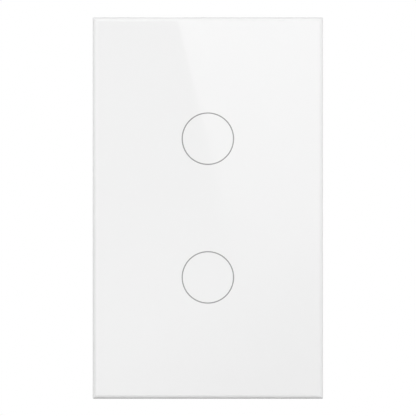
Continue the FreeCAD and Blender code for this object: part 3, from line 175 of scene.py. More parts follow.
class Effect:
    """A shader node group with named inputs and outputs, built once and placed in many materials."""

    KINDS = {"Vector": "Vector", "Stretch": "Vector", "Colour": "Color", "Lacquer": "Color", "Route": "Color"}

    def __init__(self, name: str, inputs: str, outputs: str) -> None:
        """Make an empty group with its sockets, which are plain numbers where KINDS doesn't say otherwise.

        Args:
            name: Name of the group.
            inputs: Names of its inputs, with a space between.
            outputs: Names of its outputs, with a space between.
        """
        self.group = bpy.data.node_groups.new(name, "ShaderNodeTree")
        for way, labels in (("INPUT", inputs), ("OUTPUT", outputs)):
            for label in labels.split():
                kind = f"NodeSocket{self.KINDS.get(label, 'Float')}"
                self.group.interface.new_socket(label, in_out=way, socket_type=kind)
        self.bench = ShaderBench(self.group)
        self.given = self.group.nodes.new("NodeGroupInput").outputs
        self.result = self.group.nodes.new("NodeGroupOutput").inputs

    def give(self, **sockets: Socket) -> "Effect":
        """Join sockets to the group's outputs.

        Args:
            **sockets: Output name against socket.

        Returns:
            The effect itself.
        """
        for label, socket in sockets.items():
            self.group.links.new(socket, self.result[label])
        return self

    def place(self, bench: ShaderBench, **values: Value | Colour) -> bpy.types.bpy_prop_collection:
        """Put the group into a material and return its outputs."""
        return bench.node("Group", values, node_tree=self.group).outputs

    def skin(self, bench: ShaderBench, depth: float, **values: Value | Colour) -> dict:
        """Put the group into a material.

        Args:
            bench: The material's own bench.
            depth: How deep its height is pressed in.
            **values: Input name against a plain value or a socket.

        Returns:
            The colour, roughness, height and depth that it gives a finish.
        """
        outputs = self.place(bench, **values)
        return {"Base Color": outputs["Colour"], "Roughness": outputs["Roughness"],
                "Height": outputs["Height"], "Depth": depth}


@cache
def moulded_skin() -> Effect:
    """Fine grain of a moulding: pores in height, faint cloudy tone and a roughness that varies with it."""
    effect = Effect("moulded_skin", "Vector Colour Grain Tone Roughness", "Colour Roughness Height")
    bench, given = effect.bench, effect.given
    pores = bench.noise(given["Vector"], given["Grain"], 3.0, 0.6)
    clouds = bench.noise(given["Vector"], 90.0)
    fine = bench.sway(pores, bench.math("MULTIPLY", given["Tone"], 0.6), 1.0)
    gain = bench.sway(clouds, given["Tone"], fine)
    return effect.give(Colour=bench.dimmed(given["Colour"], gain), Height=pores,
                       Roughness=bench.sway(pores, 0.12, given["Roughness"]))


@cache
def metal_grain() -> Effect:
    """Plated metal: drawn lines along one way, crystal patches in tone and small handling marks."""
    effect = Effect("metal_grain", "Vector Stretch Colour Patches Roughness", "Colour Roughness Height")
    bench, given = effect.bench, effect.given
    drawn = bench.noise(bench.scaled(given["Vector"], given["Stretch"]), 1.0, 3.0, 0.6)
    crystals = bench.node("TexVoronoi", {"Vector": given["Vector"], "Scale": 330.0}, feature="F1")
    tone = bench.split(crystals.outputs["Color"])[0]
    gain = bench.sway(tone, given["Patches"], bench.sway(drawn, 0.22, 1.0))
    smudges = bench.noise(given["Vector"], 60.0, 3.0, 0.6)
    rough = bench.sway(smudges, 0.18, bench.sway(drawn, 0.11, given["Roughness"]), clamp=True)
    return effect.give(Colour=bench.dimmed(given["Colour"], gain), Roughness=rough, Height=drawn)


@cache
def board_routes() -> Effect:
    """Copper routes under lacquer: stepped lines from two brick grids, with round vias on a loose grid."""
    effect = Effect("board_routes", "Vector Lacquer Route", "Colour Pads Height")
    bench, given = effect.bench, effect.given
    across, _, up = bench.split(given["Vector"])
    grids = []
    for first, second, scale in ((across, up, 420.0), (up, across, 300.0)):
        plane = bench.node("CombineXYZ", {0: first, 1: second})
        bricks = {"Vector": plane, "Scale": scale, "Mortar Size": 0.055, "Mortar Smooth": 0.1,
                  "Brick Width": 3.1, "Row Height": 0.42, "Bias": 0.0}
        grids.append(bench.node("TexBrick", bricks, offset=0.37, squash=1.4).outputs["Fac"])
    zones = bench.ramp(bench.noise(given["Vector"], 110.0, 1.0), 0.44, 0.5)
    upright = bench.math("MULTIPLY", grids[1], bench.math("SUBTRACT", 1.0, zones))
    routes = bench.math("MULTIPLY_ADD", grids[0], zones, upright, clamp=True)
    spots = bench.node("TexVoronoi", {"Vector": given["Vector"], "Scale": 520.0, "Randomness": 0.8})
    vias = bench.ramp(spots.outputs["Distance"], 0.16, 0.12)
    colour = bench.blend(bench.math("MULTIPLY", routes, 0.8), given["Lacquer"], given["Route"])
    return effect.give(Colour=colour, Pads=vias, Height=bench.math("ADD", routes, vias, clamp=True))


def cleared(holder: bpy.types.Material | bpy.types.World) -> ShaderBench:
    """Empty the shader tree of a material or world and return its bench."""
    holder.use_nodes = True
    holder.node_tree.nodes.clear()
    return ShaderBench(holder.node_tree)


@dataclass(frozen=True)
class Finish:
    """A surface finish that makes its own material."""

    name: str
    colour: Colour

    def darker(self, share: float) -> Colour:
        """Return the colour times a share."""
        return tuple(part * share for part in self.colour)

    def look(self, bench: ShaderBench, place: Socket) -> dict:
        """Work out the shader's inputs.

        Args:
            bench: The material's bench.
            place: The Object coordinates.

        Returns:
            Input name against value or socket, with Height and Depth for what is pressed into the surface.
        """
        raise NotImplementedError

    @cache
    def material(self) -> bpy.types.Material:
        """Make the material when it is first asked for.

        Returns:
            The one material of this finish.
        """
        material = bpy.data.materials.new(self.name)
        material.diffuse_color = (*self.colour, 1.0)
        bench = cleared(material)
        inputs = self.look(bench, bench.node("TexCoord").outputs["Object"])
        if "Height" in inputs:
            pressed = {"Height": inputs.pop("Height"), "Distance": inputs.pop("Depth"), "Strength": 1.0}
            inputs["Normal"] = bench.node("Bump", pressed)
        bench.node("OutputMaterial", {"Surface": bench.node("BsdfPrincipled", inputs)})
        return material


@dataclass(frozen=True)
class Moulding(Finish):
    """Moulded plastic with a fine spark-eroded grain."""

    roughness: float = 0.45
    grain: float = 2600.0
    depth: float = 0.00002
    tone: float = 0.05
    scatter: float = 0.0
    scatter_reach: Triple = (0.0012, 0.0012, 0.0012)

    def look(self, bench: ShaderBench, place: Socket) -> dict:
        """Return grained plastic that scatters some light under its skin."""
        skin = moulded_skin().skin(bench, self.depth, Vector=place, Colour=self.colour, Grain=self.grain,
                                   Tone=self.tone, Roughness=self.roughness)
        return {**skin, "Subsurface Weight": self.scatter, "Subsurface Radius": self.scatter_reach}


@dataclass(frozen=True)
class Plating(Finish):
    """Plated or bare metal with drawn lines and crystal patches."""

    roughness: float = 0.32
    stretch: Triple = (300.0, 300.0, 4000.0)
    patches: float = 0.12
    depth: float = 0.000004

    def look(self, bench: ShaderBench, place: Socket) -> dict:
        """Return grained metal."""
        grain = metal_grain().skin(bench, self.depth, Vector=place, Stretch=self.stretch, Colour=self.colour,
                                   Patches=self.patches, Roughness=self.roughness)
        return {**grain, "Metallic": 1.0}


@dataclass(frozen=True)
class PaintedGlass(Finish):
    """Polished glass with white enamel behind it, open along the two ring lines."""

    ring_colour: Colour = (0.3, 0.3, 0.3)
    ring_radius: float = 0.00806
    ring_line: float = 0.00036
    ring_edge: float = 0.00003
    ring_spread: float = 0.02178
    cloud: float = 0.008
    roughness: float = 0.004
    smear: float = 0.006
    refraction: float = 1.52

    def look(self, bench: ShaderBench, place: Socket) -> dict:
        """Return cloudy enamel with rings: the mask is one within half a line of a ring's radius."""
        across, _, up = bench.split(place)
        reach = bench.reach(across, bench.beyond(up, self.ring_spread))
        off = bench.math("ABSOLUTE", bench.math("SUBTRACT", reach, self.ring_radius))
        inside = bench.math("DIVIDE", bench.math("SUBTRACT", self.ring_line / 2.0, off), self.ring_edge)
        ring = bench.math("ADD", inside, 0.5, clamp=True)
        enamel = bench.dimmed(self.colour, bench.sway(bench.noise(place, 35.0), self.cloud, 1.0))
        smears = bench.noise(place, 70.0, 4.0, 0.65)
        return {"Base Color": bench.blend(ring, enamel, self.ring_colour), "IOR": self.refraction,
                "Roughness": bench.ramp(smears, 0.45, 0.8, self.roughness, self.roughness + self.smear)}


@dataclass(frozen=True)
class GlassRim(Finish):
    """Ground and polished rim of the plate: enamel seen through glass, greener where it is seen along it."""

    green: Colour = (0.62, 0.72, 0.69)
    green_from: float = -0.00706
    green_to: float = -0.00595
    roughness: float = 0.12
    haze: float = 0.08
    refraction: float = 1.52

    def look(self, bench: ShaderBench, place: Socket) -> dict:
        """Return the colour that turns green over the rear half of the thickness, with grinding streaks."""
        share = bench.ramp(bench.split(place)[1], self.green_from, self.green_to)
        streaks = bench.noise(bench.scaled(place, (700.0, 2500.0, 700.0)), 1.0)
        share = bench.math("MULTIPLY", share, bench.math("MULTIPLY_ADD", streaks, 0.2, 0.85), clamp=True)
        return {"Base Color": bench.blend(share, self.colour, self.green), "IOR": self.refraction,
                "Roughness": bench.ramp(streaks, 0.3, 0.8, self.roughness, self.roughness + self.haze),
                "Height": streaks, "Depth": 0.000002}


@dataclass(frozen=True)
class Enamel(Finish):
    """Fired enamel, faintly cloudy and glossy."""

    roughness: float = 0.22
    haze: float = 0.15
    cloud: float = 0.05

    def look(self, bench: ShaderBench, place: Socket) -> dict:
        """Return the cloudy colour, duller where it is paler."""
        clouds = bench.noise(place, 240.0, 3.0)
        return {"Base Color": bench.dimmed(self.colour, bench.sway(clouds, self.cloud, 1.0)),
                "Roughness": bench.ramp(clouds, 0.3, 0.7, self.roughness, self.roughness + self.haze)}


@dataclass(frozen=True)
class Foam(Finish):
    """Closed-cell foam tape."""

    def look(self, bench: ShaderBench, place: Socket) -> dict:
        """Return round cells with painted shade in their sunken middles."""
        cells = bench.node("TexVoronoi", {"Vector": place, "Scale": 3200.0}).outputs["Distance"]
        # Painted shade: the colour falls to 0.6 of itself in the middle of each cell, where the bump sinks
        # it.
        colour = bench.blend(bench.ramp(cells, 0.1, 0.7), self.darker(0.6), self.colour)
        return {"Base Color": colour, "Roughness": 0.9, "Height": cells, "Depth": 0.00006}


@dataclass(frozen=True)
class CircuitBoard(Finish):
    """Glass-fibre board with lacquer, copper routes and tinned vias."""

    route: Colour = (0.05, 0.34, 0.17)
    tin: Colour = (0.75, 0.74, 0.68)

    def look(self, bench: ShaderBench, place: Socket) -> dict:
        """Return the lacquered routes, with bare tin on the pads."""
        routes = board_routes().place(bench, Vector=place, Lacquer=self.colour, Route=self.route)
        pads = routes["Pads"]
        return {"Base Color": bench.blend(pads, routes["Colour"], self.tin), "Metallic": pads,
                "Roughness": bench.ramp(pads, 0.0, 1.0, 0.28, 0.35),
                "Height": routes["Height"], "Depth": 0.00003}


@dataclass(frozen=True)
class WrappedTape(Finish):
    """Insulating tape wound over a coil: soft overlapping bands."""

    band: float = 0.0031

    def look(self, bench: ShaderBench, place: Socket) -> dict:
        """Return bands along X, with painted shade at the foot of each step and in the crease hollows."""
        saw = bench.math("FRACT", bench.math("DIVIDE", bench.split(place)[0], self.band))
        creases = bench.noise(bench.scaled(place, (2.0, 1.0, 1.0)), 900.0, 3.0)
        # Painted shade: the colour falls to 0.55 of itself at the foot of each step, and a little in the
        # crease hollows.
        share = bench.math("MULTIPLY", bench.ramp(saw, 0.0, 0.06), bench.ramp(creases, 0.2, 0.8, 0.88, 1.0))
        return {"Base Color": bench.blend(share, self.darker(0.55), self.colour), "Roughness": 0.3,
                "Height": bench.math("MULTIPLY_ADD", creases, 0.4, saw), "Depth": 0.00005}


@dataclass(frozen=True)
class CanSleeve(Finish):
    """Shrink sleeve of an upright can with a pale stripe, and the bare vented metal of its far end."""

    stripe: Colour = (0.62, 0.64, 0.66)
    stripe_half: float = 0.0011
    # Painted shade: the darker grey of the vent's pressed-in cross.
    groove_shade: Colour = (0.3, 0.3, 0.31)
    metal: Colour = (0.74, 0.75, 0.76)
    middle: Pair = (0.0012, 0.0209)
    half_pitch: float = 0.0044
    bare_from: float = 0.0215

    def look(self, bench: ShaderBench, place: Socket) -> dict:
        """Return the striped sleeve, and past its end bare metal with painted shade in its pressed-in cross.
        """
        across, depth, up = bench.split(place)
        across = bench.math("SUBTRACT", across, self.middle[0])
        up = bench.beyond(bench.math("SUBTRACT", up, self.middle[1]), self.half_pitch)
        band = bench.math("COMPARE", up, 0.0, self.stripe_half)
        stripe = bench.math("MULTIPLY", band, bench.math("GREATER_THAN", across, 0.0))
        metal = bench.math("GREATER_THAN", depth, self.bare_from)
        cross = bench.math("MINIMUM", bench.math("ABSOLUTE", across), bench.math("ABSOLUTE", up))
        flat = bench.ramp(cross, 0.0001, 0.00035)
        sleeve = bench.blend(stripe, self.colour, self.stripe)
        # Painted shade: the bare metal darkens to 0.3 grey along the vent's cross, where the bump presses it
        # in.
        bare = bench.blend(flat, self.groove_shade, self.metal)
        return {"Base Color": bench.blend(metal, sleeve, bare), "Metallic": metal,
                "Roughness": bench.ramp(bench.noise(place, 500.0), 0.3, 0.7, 0.26, 0.38),
                "Height": bench.math("MULTIPLY", flat, metal), "Depth": 0.0001}


@dataclass(frozen=True)
class BandedResistor(Finish):
    """Lacquered resistor with colour bands along X."""

    left: float = 0.0087
    length: float = 0.0086
    band_half: float = 0.035
    bands: tuple[tuple[float, Colour], ...] = (
        (0.2, (0.45, 0.05, 0.03)), (0.36, (0.02, 0.02, 0.02)), (0.52, (0.02, 0.02, 0.02)),
        (0.78, (0.6, 0.42, 0.12)),
    )

    def look(self, bench: ShaderBench, place: Socket) -> dict:
        """Return grained lacquer with a band at each share of the length."""
        share = bench.math("DIVIDE", bench.math("SUBTRACT", bench.split(place)[0], self.left), self.length)
        colour = self.colour
        for at, tint in self.bands:
            colour = bench.blend(bench.math("COMPARE", share, at, self.band_half), colour, tint)
        return moulded_skin().skin(bench, 0.00005, Vector=place, Colour=colour, Grain=1500.0, Tone=0.12,
                                   Roughness=0.3)


@dataclass(frozen=True)
class Lamp(Finish):
    """Surface lamp: white package with a round phosphor window in the middle of each."""

    phosphor: Colour = (0.85, 0.68, 0.12)
    middle: Pair = (0.00635, 0.021825)
    window: float = 0.00032

    def look(self, bench: ShaderBench, place: Socket) -> dict:
        """Return the package with its glossy window pressed in."""
        across, _, up = bench.split(place)
        reach = bench.reach(bench.beyond(across, self.middle[0]), bench.beyond(up, self.middle[1]))
        window = bench.ramp(reach, self.window, self.window * 0.85)
        return {"Base Color": bench.blend(window, self.colour, self.phosphor),
                "Roughness": bench.ramp(window, 0.0, 1.0, 0.4, 0.15), "Height": window, "Depth": -0.00008}


FACE_GLASS = PaintedGlass("painted_glass", (0.87, 0.87, 0.87))
RIM_GLASS = GlassRim("glass_rim", (0.86, 0.86, 0.86))
WHITE_ENAMEL = Enamel("white_enamel", (0.86, 0.86, 0.86))
RING_FILM = Enamel("grey_ring_film", (0.42, 0.42, 0.43), roughness=0.35)
DARK_FOAM = Foam("dark_foam", (0.12, 0.12, 0.125))
FRAME_WHITE = Moulding("frame_white", (0.8, 0.805, 0.8), roughness=0.42, grain=2400.0, scatter=0.05)
HOUSING_WHITE = Moulding("housing_white", (0.7, 0.7, 0.68), roughness=0.5, grain=1500.0, depth=0.00004,
                         tone=0.06)
CARRIER_WHITE = Moulding("carrier_white", (0.78, 0.78, 0.76), roughness=0.48, grain=1700.0, depth=0.00003)
TERMINAL_BLACK = Moulding("terminal_black", (0.035, 0.04, 0.045), roughness=0.42, grain=1700.0,
                          depth=0.00004, tone=0.2)
RELAY_BLACK = Moulding("relay_black", (0.02, 0.022, 0.026), roughness=0.3, grain=1400.0, tone=0.2)
CHIP_BLACK = Moulding("chip_black", (0.018, 0.018, 0.02), roughness=0.55, grain=4200.0, depth=0.00003,
                      tone=0.3)
CONNECTOR_BLACK = Moulding("connector_black", (0.02, 0.02, 0.022), roughness=0.38, tone=0.2)
BOBBIN_BLACK = Moulding("bobbin_black", (0.03, 0.03, 0.032), grain=2200.0, tone=0.2)
BOBBIN_IVORY = Moulding("bobbin_ivory", (0.62, 0.58, 0.48), roughness=0.4, grain=2400.0, tone=0.06)
FERRITE_GREY = Moulding("ferrite_grey", (0.06, 0.06, 0.064), roughness=0.6, grain=3200.0, depth=0.00006,
                        tone=0.35)
FILM_BOX = Moulding("film_box", (0.66, 0.5, 0.1), roughness=0.28, grain=1400.0, tone=0.06)
DISC_BLUE = Moulding("disc_blue", (0.04, 0.13, 0.42), roughness=0.3, grain=900.0, depth=0.00008, tone=0.12)
CERAMIC_TAN = Moulding("ceramic_tan", (0.4, 0.29, 0.17), roughness=0.38, grain=3800.0, tone=0.2)
GUIDE_MILK = Moulding("guide_milk", (0.86, 0.9, 0.92), roughness=0.3, grain=1800.0, depth=0.00001, tone=0.03,
                      scatter=0.8, scatter_reach=(0.003, 0.003, 0.0035))
BRACKET_ZINC = Plating("bracket_zinc", (0.67, 0.69, 0.71), roughness=0.38, stretch=(250.0, 250.0, 3200.0))
SCREW_ZINC = Plating("screw_zinc", (0.72, 0.73, 0.74), roughness=0.24, stretch=(2500.0, 800.0, 2500.0),
                     patches=0.06)
CAGE_ZINC = Plating("cage_zinc", (0.68, 0.69, 0.68), roughness=0.3, stretch=(900.0, 3000.0, 900.0),
                    patches=0.1)
TINNED_COPPER = Plating("tinned_copper", (0.8, 0.76, 0.68), roughness=0.28, stretch=(2600.0, 400.0, 400.0),
                        patches=0.08)
TINNED_SHEET = Plating("tinned_sheet", (0.76, 0.77, 0.77), roughness=0.26, stretch=(3200.0, 300.0, 300.0),
                       patches=0.04)
SPRING_WIRE = Plating("spring_wire", (0.78, 0.76, 0.72), roughness=0.2, stretch=(1200.0, 1200.0, 1200.0),
                      patches=0.03)
RELAY_IRON = Plating("relay_iron", (0.56, 0.56, 0.57), roughness=0.34, stretch=(400.0, 400.0, 3000.0),
                     patches=0.06)
CONTACT_ALLOY = Plating("contact_alloy", (0.83, 0.6, 0.36), roughness=0.26, stretch=(2200.0, 500.0, 500.0),
                        patches=0.03)
GOLD_PINS = Plating("gold_pins", (0.92, 0.68, 0.28), roughness=0.22, stretch=(800.0, 2400.0, 800.0),
                    patches=0.02)
SOLDER = Plating("solder", (0.78, 0.79, 0.8), roughness=0.22, stretch=(1500.0, 1500.0, 1500.0), patches=0.03)
ENAMELLED_COPPER = Plating("enamelled_copper", (0.74, 0.3, 0.13), roughness=0.3,
                           stretch=(700.0, 5000.0, 700.0), patches=0.05)
BOARD_GREEN = CircuitBoard("board_green", (0.012, 0.15, 0.07))
BOARD_BLUE = CircuitBoard("board_blue", (0.008, 0.03, 0.12), route=(0.02, 0.08, 0.26))
TRANSFORMER_TAPE = WrappedTape("transformer_tape", (0.72, 0.5, 0.05))
CAN_SLEEVE = CanSleeve("can_sleeve", (0.02, 0.03, 0.07))
RESISTOR_GREEN = BandedResistor("resistor_green", (0.12, 0.3, 0.2))
LAMP_WHITE = Lamp("lamp_white", (0.82, 0.82, 0.78))


def tube(grid: np.ndarray) -> Shell:
    """Skin of a (rows, columns, 3) grid whose columns close on themselves, with a cap at each end.

    A quad joins the points (i, j), (i, j + 1), (i + 1, j + 1) and (i + 1, j).
    """
    rows, columns = grid.shape[:2]
    ring = np.arange(columns)[None, :]
    row = np.arange(rows - 1)[:, None] * columns
    near, far = row + ring, row + (ring + 1) % columns
    quads = np.stack((near, far, far + columns, near + columns), axis=-1).reshape(-1, 4)
    return grid.reshape(-1, 3), [quads, ring[:, ::-1], ring + (rows - 1) * columns]


def swept(*axes: np.ndarray | list) -> Shell:
    """Tube of the grid whose three coordinates are given, each spread to the shape of them all."""
    return tube(np.stack(np.broadcast_arrays(*axes), axis=-1))


def turned(radius: np.ndarray, station: np.ndarray, centre: Pair, sides: int) -> Shell:
    """A profile carried round a line along Y: the point at angle a is centre + radius * (cos a, sin a).

    Args:
        radius: (n, 1) radii, or (n, sides) where they change round the line.
        station: (n, 1) Y of each ring.
        centre: X and Z of the line.
        sides: Points round it.

    Returns:
        Points and faces, closed by a disc at each end.
    """
    angle = np.arange(sides) * 2.0 * np.pi / sides
    return swept(centre[0] + radius * np.cos(angle), station, centre[1] + radius * np.sin(angle))


def joined(parts: list[Shell]) -> Shell:
    """Put several shells into one.

    Args:
        parts: The shells.

    Returns:
        Points and faces of them all.
    """
    starts = np.cumsum([0] + [len(points) for points, _ in parts])
    faces = [block + start for (_, blocks), start in zip(parts, starts) for block in blocks]
    return np.concatenate([points for points, _ in parts]), faces


def stamped(shell: Shell, places: np.ndarray, ways: np.ndarray) -> Shell:
    """Copies of a small shell, each turned about Y.

    The shell's own axes are across, Y and out. At a place (x, y, z) with way (i, k) its point (a, b, c) lands
    on (x + c i - a k, y + b, z + c k + a i).

    Args:
        shell: Points and faces of one copy.
        places: (n, 3) places.
        ways: (n, 2) X and Z of each copy's outward way.

    Returns:
        Points and faces of all copies.
    """
    points, faces = shell
    across, rise, out = points.T
    spots = np.stack((places[:, :1] + out * ways[:, :1] - across * ways[:, 1:], places[:, 1:2] + rise,
                      places[:, 2:] + out * ways[:, 1:] + across * ways[:, :1]), axis=-1)
    step = (np.arange(len(places)) * len(points))[:, None, None]
    return spots.reshape(-1, 3), [(block + step).reshape(-1, block.shape[1]) for block in faces]


def block(width: float, low: float, high: float, start: float, end: float) -> Shell:
    """A block in a stamp's axes: centred across, from low to high in Y and from start to end outwards."""
    return swept(SECTION_SIDES * width / 2.0, low + (high - low) * SECTION_TOPS, [[start], [end]])


def fillet(width: float, rise: float, run: float, start: float, steps: int) -> Shell:
    """A hollow wedge of solder in a stamp's axes: its height falls as rise * (1 - s)^2 over its run.

    Args:
        width: Width across.
        rise: Height where it begins, over a thin foot.
        run: Length outwards.
        start: Where it begins.
        steps: Sections along it.

    Returns:
        Points and faces.
    """
    share = np.linspace(0.0, 1.0, steps)[:, None]
    height = rise * (1.0 - share) ** 2 + SOLDER_FILM
    return swept(SECTION_SIDES * width / 2.0, height * SECTION_TOPS, start + run * share)


def wire_shell(line: np.ndarray, lean: np.ndarray, radius: float, sides: int) -> Shell:
    """A round wire: at each point of its line a circle across it.

    The circle's first axis is the lean with its share along the line taken off, and its second is the cross
    product of the line's way and the first.

    Args:
        line: (n, 3) centre of the wire.
        lean: (n, 3) or (3,) vectors that stand roughly across the line.
        radius: Radius of the wire.
        sides: Points round it.

    Returns:
        Points and faces.
    """
    way = np.gradient(line, axis=0)
    way /= np.linalg.norm(way, axis=1, keepdims=True)
    first = lean - way * np.sum(lean * way, axis=1, keepdims=True)
    first /= np.linalg.norm(first, axis=1, keepdims=True)
    angle = (np.arange(sides) * 2.0 * np.pi / sides)[None, :, None]
    circle = np.cos(angle) * first[:, None] + np.sin(angle) * np.cross(way, first)[:, None]
    return tube(line[:, None] + radius * circle)


def corners(node: str) -> tuple[np.ndarray, np.ndarray]:
    """Lowest and highest corners of a CAD node."""
    low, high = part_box(node)
    return np.array(low), np.array(high)


def linked(name: str, data: bpy.types.ID) -> Piece:
    """Put a mesh, lamp or camera into the scene.

    Args:
        name: Name of the object.
        data: What it holds.

    Returns:
        The object, at the origin.
    """
    thing = bpy.data.objects.new(name, data)
    bpy.context.scene.collection.objects.link(thing)
    return thing


def new_piece(name: str, shell: Shell, solid: bool = True) -> Piece:
    """Make a mesh object at the origin.

    Args:
        name: Name of the piece.
        shell: (n, 3) points, and arrays of (m, k) indices, each of faces with one corner count.
        solid: Whether its faces are pointed outwards, and shaded smooth where they turn by under 35 degrees.

    Returns:
        The linked object.
    """
    points, blocks = shell
    mesh = bpy.data.meshes.new(name)
    mesh.from_pydata(points.tolist(), [], [face for block in blocks for face in block.tolist()])
    mesh.validate()
    mesh.update()
    if solid:
        mesh.shade_smooth()
        mesh.set_sharp_from_angle(angle=math.radians(35.0))
        skin = bmesh.new()
        skin.from_mesh(mesh)
        bmesh.ops.recalc_face_normals(skin, faces=skin.faces)
        skin.to_mesh(mesh)
        skin.free()
    return linked(name, mesh)


def dress(piece: Piece, *finishes: Finish) -> Piece:
    """Give a piece its materials.

    Args:
        piece: A new piece or a CAD node's object.
        *finishes: Its finishes, by material index.

    Returns:
        The same piece.
    """
    piece.data.materials.clear()
    for finish in finishes:
        piece.data.materials.append(finish.material())
    LOG.info("%s dressed in %s", piece.name, ", ".join(finish.name for finish in finishes))
    return piece


def seat(piece: Piece, node: str, replaces: bool = True) -> Piece:
    """Let a piece ride on a CAD node's body.

    Args:
        piece: The finished piece.
        node: The CAD node.
        replaces: Whether the piece stands for the node.

    Returns:
        The same piece.
    """
    record = frame["record"]
    body = next(name for name, members in record["behaviour"]["bodies"].items() if node in members)
    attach(piece, body)
    if replaces:
        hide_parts(node)
    LOG.info("%s rides on %s", piece.name, body)
    return piece


def made(name: str, shell: Shell, finish: Finish, node: str, replaces: bool = True) -> Piece:
    """Make a piece from a shell, dress it and seat it by a CAD node."""
    return seat(dress(new_piece(name, shell), finish), node, replaces)


def softened(node: str, width: float, finish: Finish) -> Piece:
    """A copy of a CAD node with its doubles merged, its flats whole and its edges rounded.

    Args:
        node: The CAD node that the copy stands for.
        width: Rounding of the edges.
        finish: Finish of the copy.

    Returns:
        The seated copy.
    """
    mesh = frame["nodes"][node].data.copy()
    mesh.name = f"{node}_body"
    skin = bmesh.new()
    skin.from_mesh(mesh)
    bmesh.ops.remove_doubles(skin, verts=skin.verts, dist=2e-6)
    bmesh.ops.dissolve_limit(skin, angle_limit=math.radians(0.6), verts=skin.verts, edges=skin.edges)
    skin.to_mesh(mesh)
    skin.free()
    mesh.shade_smooth()
    if mesh.attributes.get("custom_normal"):
        mesh.attributes.remove(mesh.attributes["custom_normal"])
    mesh.set_sharp_from_angle(angle=math.radians(25.0))
    piece = dress(linked(mesh.name, mesh), finish)
    rounding = piece.modifiers.new("edge_rounding", "BEVEL")
    rounding.width, rounding.segments = width, 2
    rounding.limit_method, rounding.angle_limit = "ANGLE", math.radians(30.0)
    rounding.harden_normals = rounding.use_clamp_overlap = True
    return seat(piece, node)


@dataclass
class GlassPlate:
    """The glass plate: a flat painted face with a polished rim that rounds back to the wall side."""

    rim_radius: float = 0.0013
    corner_radius: float = 0.00035
    least_corner: float = 0.000035
    corner_steps: int = 7
    rim_steps: int = 12
    rear_bevel: float = 0.00025

    def outline(self, inset: np.ndarray, half: np.ndarray) -> np.ndarray:
        """Rounded rectangles, one for each inset.

        Quarter circles about the four corner centres are joined by straight sides; each inset moves the sides
        inwards and shrinks the corner radius down to the least one.

        Args:
            inset: (n,) distances from the outer edge.
            half: Half width and half height of the plate.

        Returns:
            (n, m, 2) points across and up.
        """
        radius = np.maximum(self.corner_radius - inset, self.least_corner)[:, None, None]
        quarter = np.linspace(0.0, np.pi / 2.0, self.corner_steps)
        angle = (np.arange(4)[:, None] * np.pi / 2.0 + quarter).ravel()
        signs = np.repeat([[1, 1], [-1, 1], [-1, -1], [1, -1]], self.corner_steps, axis=0)
        centres = signs * (half - inset[:, None, None] - radius)
        return centres + radius * np.stack((np.cos(angle), np.sin(angle)), axis=-1)

    def build(self) -> None:
        """Make the plate and stand it in for the CAD glass.

        The rim's section is a quarter circle: inset = r (1 - cos t), depth = r (1 - sin t), from the face at
        t = 90 degrees to the side at t = 0, then straight to a small rear bevel.
        """
        low, high = corners("glass_panel")
        turn = np.linspace(np.pi / 2.0, 0.0, self.rim_steps)
        inset = np.concatenate((self.rim_radius * (1.0 - np.cos(turn)), [0.0, self.rear_bevel]))
        depth = np.concatenate((low[1] + self.rim_radius * (1.0 - np.sin(turn)),
                                [high[1] - self.rear_bevel, high[1]]))
        rings = self.outline(inset, (high - low)[[0, 2]] / 2.0)
        piece = new_piece("glass_plate", swept(rings[..., 0], depth[:, None], rings[..., 1]))
        dress(piece, FACE_GLASS, RIM_GLASS)
        slots = np.ones(len(piece.data.polygons), dtype=np.int32)
        slots[-2:] = 0
        piece.data.polygons.foreach_set("material_index", slots)
        piece.modifiers.new("flat_faces", "WEIGHTED_NORMAL").keep_sharp = True
        seat(piece, "glass_panel")


@dataclass
class PanelBacking:
    """The pieces behind the glass that come away with it."""

    edge: float = 0.00018

    def build(self) -> None:
        """Dress the enamel, the rings and the tape, and round the frame's edges."""
        for node, finish in (("back_print", WHITE_ENAMEL), ("ring_windows", RING_FILM),
                             ("panel_adhesive", DARK_FOAM)):
            dress(frame["nodes"][node], finish)
        softened("panel_frame", self.edge, FRAME_WHITE)


@dataclass
class Enclosure:
    """The steel bracket, the box behind it and the cover in front of it."""

    steel_edge: float = 0.00015
    box_edge: float = 0.0003
    cover_edge: float = 0.00022

    def build(self) -> None:
        """Round and dress the bracket, the box and the cover."""
        softened("mounting_bracket", self.steel_edge, BRACKET_ZINC)
        softened("rear_housing", self.box_edge, HOUSING_WHITE)
        softened("front_carrier", self.cover_edge, CARRIER_WHITE)


